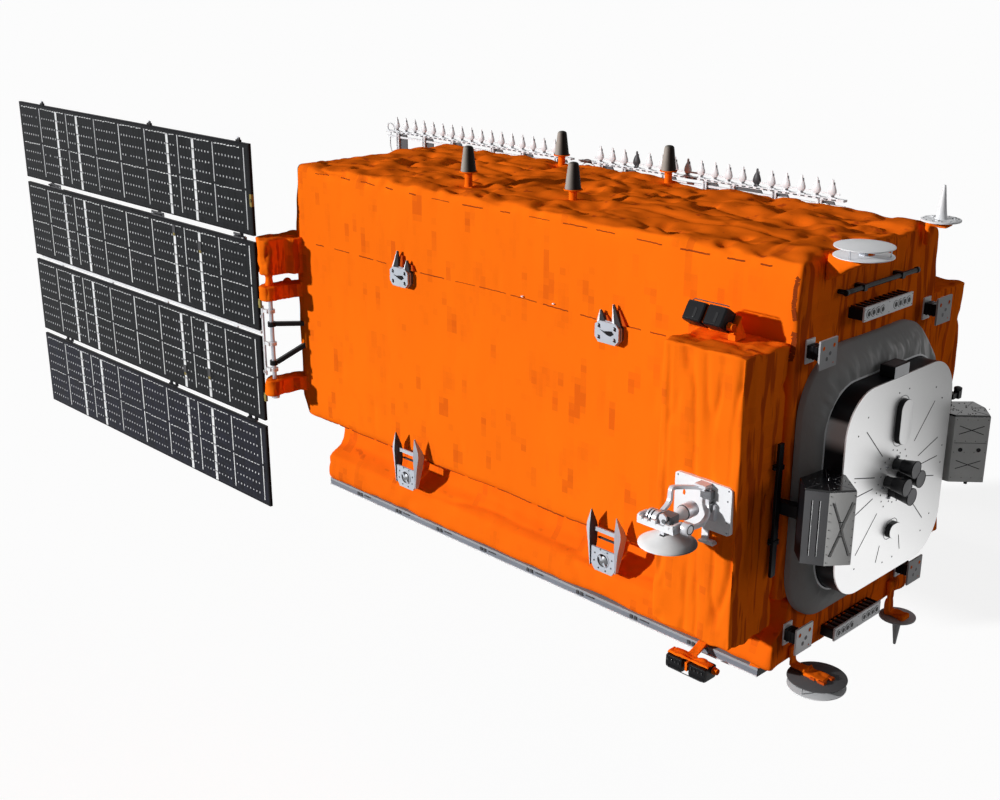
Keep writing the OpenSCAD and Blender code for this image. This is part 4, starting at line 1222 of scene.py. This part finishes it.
# ---------------------------------------------------------------- wing hold-downs
upper_catch, blue_grey = Shape(silver_metal), paint("blue_grey", (0.50, 0.54, 0.60), 0.35, level=0.3)
for x, tall_side in ((1130, -1), (2980, 1)):
    side, z = -half_width, 1766
    plate = [(-94, -36), (-66, -66), (66, -66), (94, -36), (94, 40), (66, 66), (-66, 66), (-94, 40)]
    upper_catch.paint(dark_metal).prism([(x + a * 0.95, z + b * 0.95) for a, b in plate], side + 6, side - 24,
                                        "y")
    upper_catch.paint(blue_grey).prism([(x + a, z + b) for a, b in plate], side - 16, side - 24, "y")
    upper_catch.prism([(x + a * 0.97, z + b * 0.97) for a, b in plate], side - 30, side - 44, "y")
    upper_catch.paint(dark_metal).prism([(x + a * 0.9, z + b * 0.9) for a, b in plate], side - 23, side - 31,
                                        "y")
    for s in (-1, 1):
        rise = 172 if s == tall_side else 124
        foot, peak = x + s * 58, x + s * (30 if s == tall_side else 66)
        # each horn: a white facet turned to the light and a dark facet turned away: painted shade
        for tone, left in ((white_enamel, -1), (dark_enamel, 1)):
            edge_x = foot + left * 34
            upper_catch.paint(tone).loft([
                [(foot, side - 44, z + 50), (edge_x, side - 26, z + 50), (edge_x, side + 4, z + 50),
                 (foot, side + 4, z + 50)],
                [(peak, side - 30, z + rise), (peak + left * 5, side - 26, z + rise),
                 (peak + left * 5, side - 16, z + rise), (peak, side - 16, z + rise)]])
        # a darker orange sheet to the right of each horn: painted shadow of the horn
        upper_catch.paint(shaded_orange_foil).loft([
            [(foot + 20, side - 16, z + 56), (foot + 62, side - 14, z + 56), (foot + 62, side + 4, z + 56),
             (foot + 20, side + 4, z + 56)],
            [(peak + 20, side - 8, z + rise - 30), (peak + 34, side - 8, z + rise - 30),
             (peak + 34, side + 4, z + rise - 30), (peak + 20, side + 4, z + rise - 30)]])
    upper_catch.paint(black_enamel)
    slash = [(-54, 14), (-22, 8), (40, 18), (56, 2), (30, -16), (6, -12)]
    upper_catch.prism([(x + a, z + b) for a, b in slash], side - 43, side - 45.5, "y")
    for a, b in ((-60, 36), (60, 36), (-60, -32), (60, -32)):
        upper_catch.paint(black_enamel).spin([(12, 0), (12, 2), (0.1, 3)],
                                             spot(x + a, side - 43.5, z + b, tip=90), 16)
        upper_catch.paint(blue_grey).spin([(6, 0), (6, 8), (3, 9)],
                                          spot(x + a - 3, side - 43.5, z + b + 3, tip=90), 12)
        upper_catch.paint(black_enamel).box((x + a, side - 45.4, z + b - 14),
                                            (x + a + 12, side - 43, z + b - 3))
upper_catch.piece("upper_catches", slot="silver_metal", stands_for=["upper_holddowns"], edge=1.5)

fork = Shape(silver_metal)
for x in (1200, 3035):
    face = -half_width - 83
    arc = [(x + 46 * math.cos(a), 350 + 46 * math.sin(a)) for a in np.arange(0, 360, 15) * math.pi / 180]
    outline = [(-94, 304), (-66, 266), (70, 266), (94, 300), (94, 418), (-94, 418)]
    fork.paint(blue_grey).prism([(x + a, b) for a, b in outline], face + 12, face, "y")
    fork.paint(dark_enamel).prism(arc, face + 1, face - 1.2, "y")
    fork.paint(silver_metal)
    fork.spin([(50, 0), (50, 3), (46, 3.5)], spot(x, face, 350, tip=90), 40)
    fork.paint(black_enamel).spin([(42, 0), (42, 2), (0.1, 2.4)], spot(x, face - 2.4, 348, tip=90), 28)
    fork.paint(dark_metal).spin([(34, 0), (20, 8), (0.1, 10)], spot(x + 6, face - 4, 344, tip=90), 20)
    fork.paint(blue_grey).prism([(x - 30, 372), (x - 16, 384), (x + 34, 322), (x + 24, 312)], face, face - 13,
                                "y")
    fork.paint(dark_enamel)
    rivets(fork, [spot(x + 74 * math.cos(a), face, 348 + 68 * math.sin(a),
                       tip=90) for a in np.arange(8) * math.pi / 4 + 0.3], 6, 2, 10)
    for s in (-1, 1):
        mid = x + (-106 if s < 0 else 92)
        # the left blade's inner facet is dark enamel: painted shade
        for tone, flare in ((blue_grey, s * 38), (dark_enamel if s < 0 else blue_grey, -s * 9)):
            rings = []
            for level, grow, front, deep in ((286, 0.15, 2, 30), (430, 0.55, -6, 60), (520, 1.0, -10, 60),
                                             (560, 0.9, -8, 50), (655, 0.05, 4, 12)):
                rings.append([(mid, face + front, level),
                              (mid + flare * grow, face + front + 16 * grow, level),
                              (mid + flare * grow, face + deep, level), (mid, face + deep, level)])
            fork.paint(tone).loft(rings)
    fork.paint(blue_grey).box((x - 92, -half_width - 60, 512), (x + 88, -half_width - 48, 538))
    fork.paint(dark_enamel).box((x - 92, -half_width - 30, 452), (x + 88, -half_width - 16, 462))
fork.piece("lower_forks", slot="silver_metal", stands_for=["lower_holddowns"], edge=1.5)

# ---------------------------------------------------------------- steerable dish
dish_x, axis_y, axis_z = 3985, -1400, 1105
pearl, bearing = paint("pearl", (0.72, 0.73, 0.77), 0.3,
                       level=0.35), brushed("bearing", (0.7, 0.7, 0.74), 0.3, 0.5)
wall = Shape(white_enamel)
wall.prism(rounded(369, 268, 16, 60, (dish_x + 7.5, 1127)), -locker_face - 12, -locker_face + 14, "y")
wall.box((dish_x + 13, -locker_face - 12, 922), (dish_x + 55, -locker_face, 996))
wall.box((dish_x + 13, -locker_face - 40, 922), (dish_x + 107, -locker_face, 934))
wall.paint(pearl).box((dish_x + 60, -locker_face - 39, 934), (dish_x + 104, -locker_face - 2, 942), taper=0.9)
wall.paint(orange_foil).prism([(dish_x - 116, 1190), (dish_x - 104, 1158), (dish_x - 108, 1140),
                               (dish_x - 122, 1146)],
                              -locker_face - 11, -locker_face - 13.5, "y")
wall.paint(dark_metal)
rivets(wall, [spot(dish_x + 7 + a, -locker_face - 12, 1127 + b,
                   tip=90) for a in (-165, 0, 165) for b in (-118, 118)], 5, 3, 10)
rivets(wall, [spot(dish_x + 168, -locker_face - 12, 1127 + b, tip=90) for b in (-60, 60)], 5, 3, 10)
wall.piece("dish_backing", slot="white_paint", stands_for=["dish_wall_plate"], edge=2)

frame_arms = Shape(pearl)
face = -locker_face
frame_arms.box((dish_x - 4, face - 72, 1240),
               (dish_x + 66, face - 10, 1258)).box((dish_x + 14, face - 60, 1222),
                                                   (dish_x + 52, face - 10, 1242))
frame_arms.box((dish_x + 46, face - 34, 1140), (dish_x + 72, face - 10, 1242))
frame_arms.box((dish_x + 60, face - 36, 1060), (dish_x + 104, face - 10, 1150))
frame_arms.paint(dark_metal).box((dish_x + 20, face - 50, 1180), (dish_x + 86, face - 14, 1224))
frame_arms.box((dish_x + 64, face - 48, 1110), (dish_x + 90, face - 14, 1160))
frame_arms.paint(pearl)


def strap(shape, points, wide, thick, side):
    """A flat bar along a rounded line; side is the direction of its width."""
    line, side = bend(points), Vector(side)
    rings = []
    for i, point in enumerate(line):
        ahead = (line[min(i + 1, len(line) - 1)] - line[max(i - 1, 0)]).normalized()
        over = ahead.cross(side).normalized()
        a, b = side * wide / 2, over * thick / 2
        rings.append([point + a + b, point - a + b, point - a - b, point + a - b])
    shape.loft(rings)


strap(frame_arms,
      [(dish_x + 30, face - 60, 1238), (dish_x - 20, face - 92, 1237), (dish_x - 79, face - 150, 1236),
                   (dish_x - 79, face - 172, 1232), (dish_x - 79, face - 172, 1180),
                   (dish_x - 79, face - 190, 1150),
                   (dish_x - 79, face - 240, 1124), (dish_x - 79, face - 262, 1118)], 24, 20, (1, 0, 0))
strap(frame_arms,
      [(dish_x + 60, face - 36, 1200), (dish_x + 66, face - 38, 1150), (dish_x + 84, face - 60, 1108),
                   (dish_x + 104, face - 124, 1082), (dish_x + 111, face - 200, 1088),
                   (dish_x + 111, face - 255, 1098)], 22, 20, (1, 0, 0))
place = spot(dish_x - 123, axis_y, axis_z, pitch=90)
frame_arms.paint(bearing).spin([(38, 0), (42, 2), (43, 4), (43, 14), (38, 15), (38, 23), (43, 24), (43, 34),
                                (38, 35),
                                (38, 43), (43, 44), (43, 68), (40, 71), (20, 72)], place, 48)
frame_arms.paint(black_enamel)
for h in (15, 35):
    frame_arms.spin([(38.6, h), (39.6, h + 0.5), (39.6, h + 7.5), (38.6, h + 8)], place, 48)
place = spot(dish_x + 99, axis_y, axis_z, pitch=90)
frame_arms.paint(bearing).spin([(34, 0), (36, 2), (36, 36), (33, 40), (29, 42), (24, 41)], place, 48)
frame_arms.paint(black_enamel).spin([(28, 40), (28, 42.5), (22, 42.5), (22, 40)], place, 40)
frame_arms.piece("dish_arms", slot="silver_metal", stands_for=["dish_frame"], edge=2)

yoke = Shape(white_enamel)
yoke.box((dish_x - 151, axis_y - 70, axis_z - 27), (dish_x + 87, axis_y - 59, axis_z + 3))
for x, wide, tall in ((-146, 26, 12), (-104, 22, 8), (-58, 30, 16), (30, 28, 14), (64, 20, 20)):
    yoke.box((dish_x + x, axis_y - 72, axis_z - 6), (dish_x + x + wide, axis_y - 56, axis_z + 3 + tall))
yoke.paint(pearl)
for x in (-151, 73):
    cheek = rounded(88, 52, 20, 40, (axis_y - 26, axis_z - 1))
    yoke.prism(cheek, dish_x + x, dish_x + x + 14, "x")
yoke.paint(dark_metal).tube([(dish_x - 151, axis_y, axis_z), (dish_x + 133, axis_y, axis_z)], 16, 32)
yoke.paint(dark_metal).box((dish_x - 36, axis_y - 28, axis_z - 24), (dish_x + 36, axis_y + 40, axis_z + 44))
yoke.paint(white_enamel).box((dish_x - 30, axis_y - 30, axis_z - 22), (dish_x + 30, axis_y - 20, axis_z + 20))
motor = spot(dish_x + 10, axis_y + 42, axis_z + 22, tip=-90)
yoke.paint(white_enamel).spin([(20, 0), (22, 2), (38, 60), (38, 62)], motor, 48)
yoke.paint(black_enamel).spin([(40, 61), (41, 62), (41, 66), (40, 67)], motor, 48)
yoke.paint(bearing).spin([(41, 66), (42, 68), (42, 140), (40, 146), (34, 148), (0.1, 148)], motor, 48)
yoke.paint(dark_metal).spin([(12, -98), (12, -71)], motor, 24)
yoke.piece("dish_yoke", "dish_tipper", "silver_metal", ["dish_cross_tube"], edge=1.5)

# the dish shell darkens on faces turned to +X and +Y: painted shade
reflector = Shape(direction_shaded("dish_white", (0.95, 0.95, 0.95), (0.13, 0.13, 0.14), -0.05, 0.42, 0.3))
reflector.spin([(0.1, -56), (38, -57), (42, -58.5), (124, -94), (153, -111), (154, -113), (154, -119),
                (152, -120),
                (120, -104), (40, -68), (0.1, -66)], spot(dish_x, axis_y, axis_z), 96)
reflector.paint(pearl).spin([(13, 0), (24, 1), (24, 12), (21, 14), (13, 14)],
                            spot(dish_x, axis_y - 52, axis_z + 35, tip=-90), 32)
reflector.box((dish_x - 13, axis_y - 52, axis_z - 66), (dish_x + 13, axis_y - 38, axis_z + 18))
reflector.box((dish_x - 13, axis_y - 52, axis_z - 69), (dish_x + 13, axis_y + 10, axis_z - 55))
reflector.spin([(26, -58), (22, -50), (14, -48)], spot(dish_x, axis_y, axis_z), 32)
reflector.piece("dish_reflector", "dish_head", "white_paint", ["dish"], edge=0)

# small fittings: clips along the top edge, flat hinges and rods in the gaps, root edge brackets
olive = paint("olive", (0.26, 0.20, 0.045), 0.45, level=0.2)
clips = Shape(black_enamel)
for x in (-3350, -1570, -350):
    clips.paint(black_enamel).box((x - 26, wing_face + 2, wing_crown - 6),
                                  (x + 26, wing_back - 2, wing_crown + 16))
    clips.paint(dark_enamel).box((x - 12, wing_face + 4, wing_crown + 14),
                                 (x + 18, wing_back - 4, wing_crown + 32), taper=0.8)
    clips.paint(silver_metal).box((x - 2, wing_face + 2, wing_crown + 26),
                                  (x + 14, wing_face + 8, wing_crown + 38))
clips.paint(olive).box((wing_root - 22, wing_face - 4, 2085), (wing_root + 2, wing_back - 3, 2175))
clips.paint(black_enamel).spin([(12, 0), (12, 3), (7, 3.5)], spot(wing_root - 4, wing_face - 4, 2130, tip=90),
                               20)
clips.paint(olive).spin([(6, 0), (6, 5), (0.1, 5.5)], spot(wing_root - 4, wing_face - 4, 2130, tip=90), 16)
clips.piece("top_panel_clips", "top_flap", "black_paint", edge=1)

leaves = Shape(dark_enamel)
gap_top = wing_crown - panel_height
for x in (-3230, -1530, -420):
    wide = 95 if x != -420 else 48
    leaves.paint(dark_enamel).box((x - wide, wing_face - 7, gap_top - panel_gap + 6),
                                  (x + wide, wing_face - 2.6, gap_top - 4))
    leaves.box((x - wide * 0.6, wing_face - 12, gap_top - panel_gap + 14),
               (x + wide * 0.5, wing_face - 6, gap_top - 16), taper=0.9)
    leaves.paint(silver_metal)
    rivets(leaves, [spot(x + s * wide * 0.8, wing_face - 7, gap_top - panel_gap / 2,
                         tip=90) for s in (-1, 1)], 5, 2)
leaves.paint(black_enamel).box((-3120, wing_face + 4, gap_top - panel_gap + 1),
                               (-1640, wing_face + 12, gap_top - panel_gap + 11))
for x, z in zip(WIDE_LINES[2:] * 2, (1760, 1680, 610, 660)):
    leaves.paint(dark_enamel).box((x - 22, wing_face - 6, z - 34), (x + 22, wing_face - 2.2, z + 34),
                                  taper=0.86)
    leaves.paint(olive).box((x - 12, wing_face - 7.5, z - 52), (x + 14, wing_face - 2.2, z - 30))
    leaves.paint(black_enamel).box((x - 62, wing_face - 3.6, z + 8),
                                   (x - 20, wing_face - 1,
                                    z + 20)).box((x + 20, wing_face - 3.6, z - 24),
                                                 (x + 52, wing_face - 1, z - 12))
leaves.paint(olive)
for z in (1370, 640):
    leaves.box((wing_root - 2, wing_face + 3, z - 34), (wing_root + 26, wing_back - 3, z + 34))
leaves.piece("wing_fittings", "wing", "black_paint", edge=0.8)

link = Shape(orange_foil)
box_low, box_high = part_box("drive_box")
link_x, link_y = (box_low.x - body_low.x) * 1000 + 95, (box_low.y + box_high.y) * 500
link_top = (box_low.z - body_high.z) * 1000 + body_top
for dx, dy, dz, r in ((0, 0, -8, 34), (6, -8, -52, 30), (26, 4, -74, 33), (-18, -4, -82, 27)):
    link.spin([(r * math.sin(k * math.pi / 8), -r * math.cos(k * math.pi / 8)) for k in range(9)],
              spot(link_x + dx, link_y + dy, link_top + dz, tip=20 * dx), 18)
link.piece("drive_link", slot="orange_blanket", sharp=60)

# ---------------------------------------------------------------- stage, camera and lights


def seen_as_white(f):
    """1 where the camera, a mirror or glass looks."""
    path = f.node("ShaderNodeLightPath").socket.node
    looks = [Value(f, path.outputs[n]) for n in ("Is Camera Ray", "Is Glossy Ray", "Is Transmission Ray")]
    return looks[0].most(looks[1]).most(looks[2])


def pale_floor():
    """White to look at, dull to the lamps, and still taking the object's shadow."""
    f = Finish("pale_floor")
    cloud = f.noise(2.5, detail=3.0) * 0.02
    tone = f.blend(cloud, (0.30, 0.30, 0.30), (0.27, 0.27, 0.27))
    dull = f.node("ShaderNodeBsdfDiffuse", inputs={"Color": tone})
    glow = f.node("ShaderNodeEmission", inputs={"Color": (1.0, 1.0, 1.0), "Strength": 0.84})
    both = f.node("ShaderNodeAddShader", inputs=[dull, glow])
    mixed = f.node("ShaderNodeMixShader", inputs=[seen_as_white(f), dull, both])
    f.feed(f.out.inputs["Surface"], mixed)
    return f


floor_radius, floor_thick, floor_drop = 300000, 60, 2000
ground = Shape(pale_floor())
ground.spin([(floor_radius, -floor_thick), (floor_radius, 0)], spot(0, 0, -floor_drop), 96)
floor = ground.piece("floor", body=None)

studio = Finish("studio", world=True)
bpy.context.scene.world = studio.material
soft_fill = studio.node("ShaderNodeBackground", inputs={"Color": (1.0, 1.0, 1.0), "Strength": 0.10})
open_white = studio.node("ShaderNodeBackground", inputs={"Color": (1.0, 1.0, 1.0), "Strength": 1.0})
sky = studio.node("ShaderNodeMixShader", inputs=[seen_as_white(studio), soft_fill, open_white])
studio.feed(studio.out.inputs["Surface"], sky)


def lamp(name, travel, strength, spread):
    data = bpy.data.lights.new(name, "SUN")
    data.energy, data.angle = strength, math.radians(spread)
    made = bpy.data.objects.new(name, data)
    bpy.context.scene.collection.objects.link(made)
    made.rotation_mode = "QUATERNION"
    made.rotation_quaternion = Vector(travel).to_track_quat("-Z", "Y")
    made.location = (0, 0, 8)


lamp("key_lamp", (0.52, 0.81, -0.27), 3.7, 2)
lamp("front_fill", (-0.78, -0.42, -0.30), 0.26, 20)

lens = bpy.data.cameras.new("view")
lens.lens, lens.sensor_width = 48, 36
camera = bpy.data.objects.new("view", lens)
bpy.context.scene.collection.objects.link(camera)
looks_down, faces = 19.3, 135.6
camera.rotation_euler = (math.radians(90 - looks_down), 0, math.radians(faces - 90))
camera.location = (7.89, -6.37, 2.52)
bpy.context.scene.camera = camera
bpy.context.scene.view_settings.view_transform = "Standard"
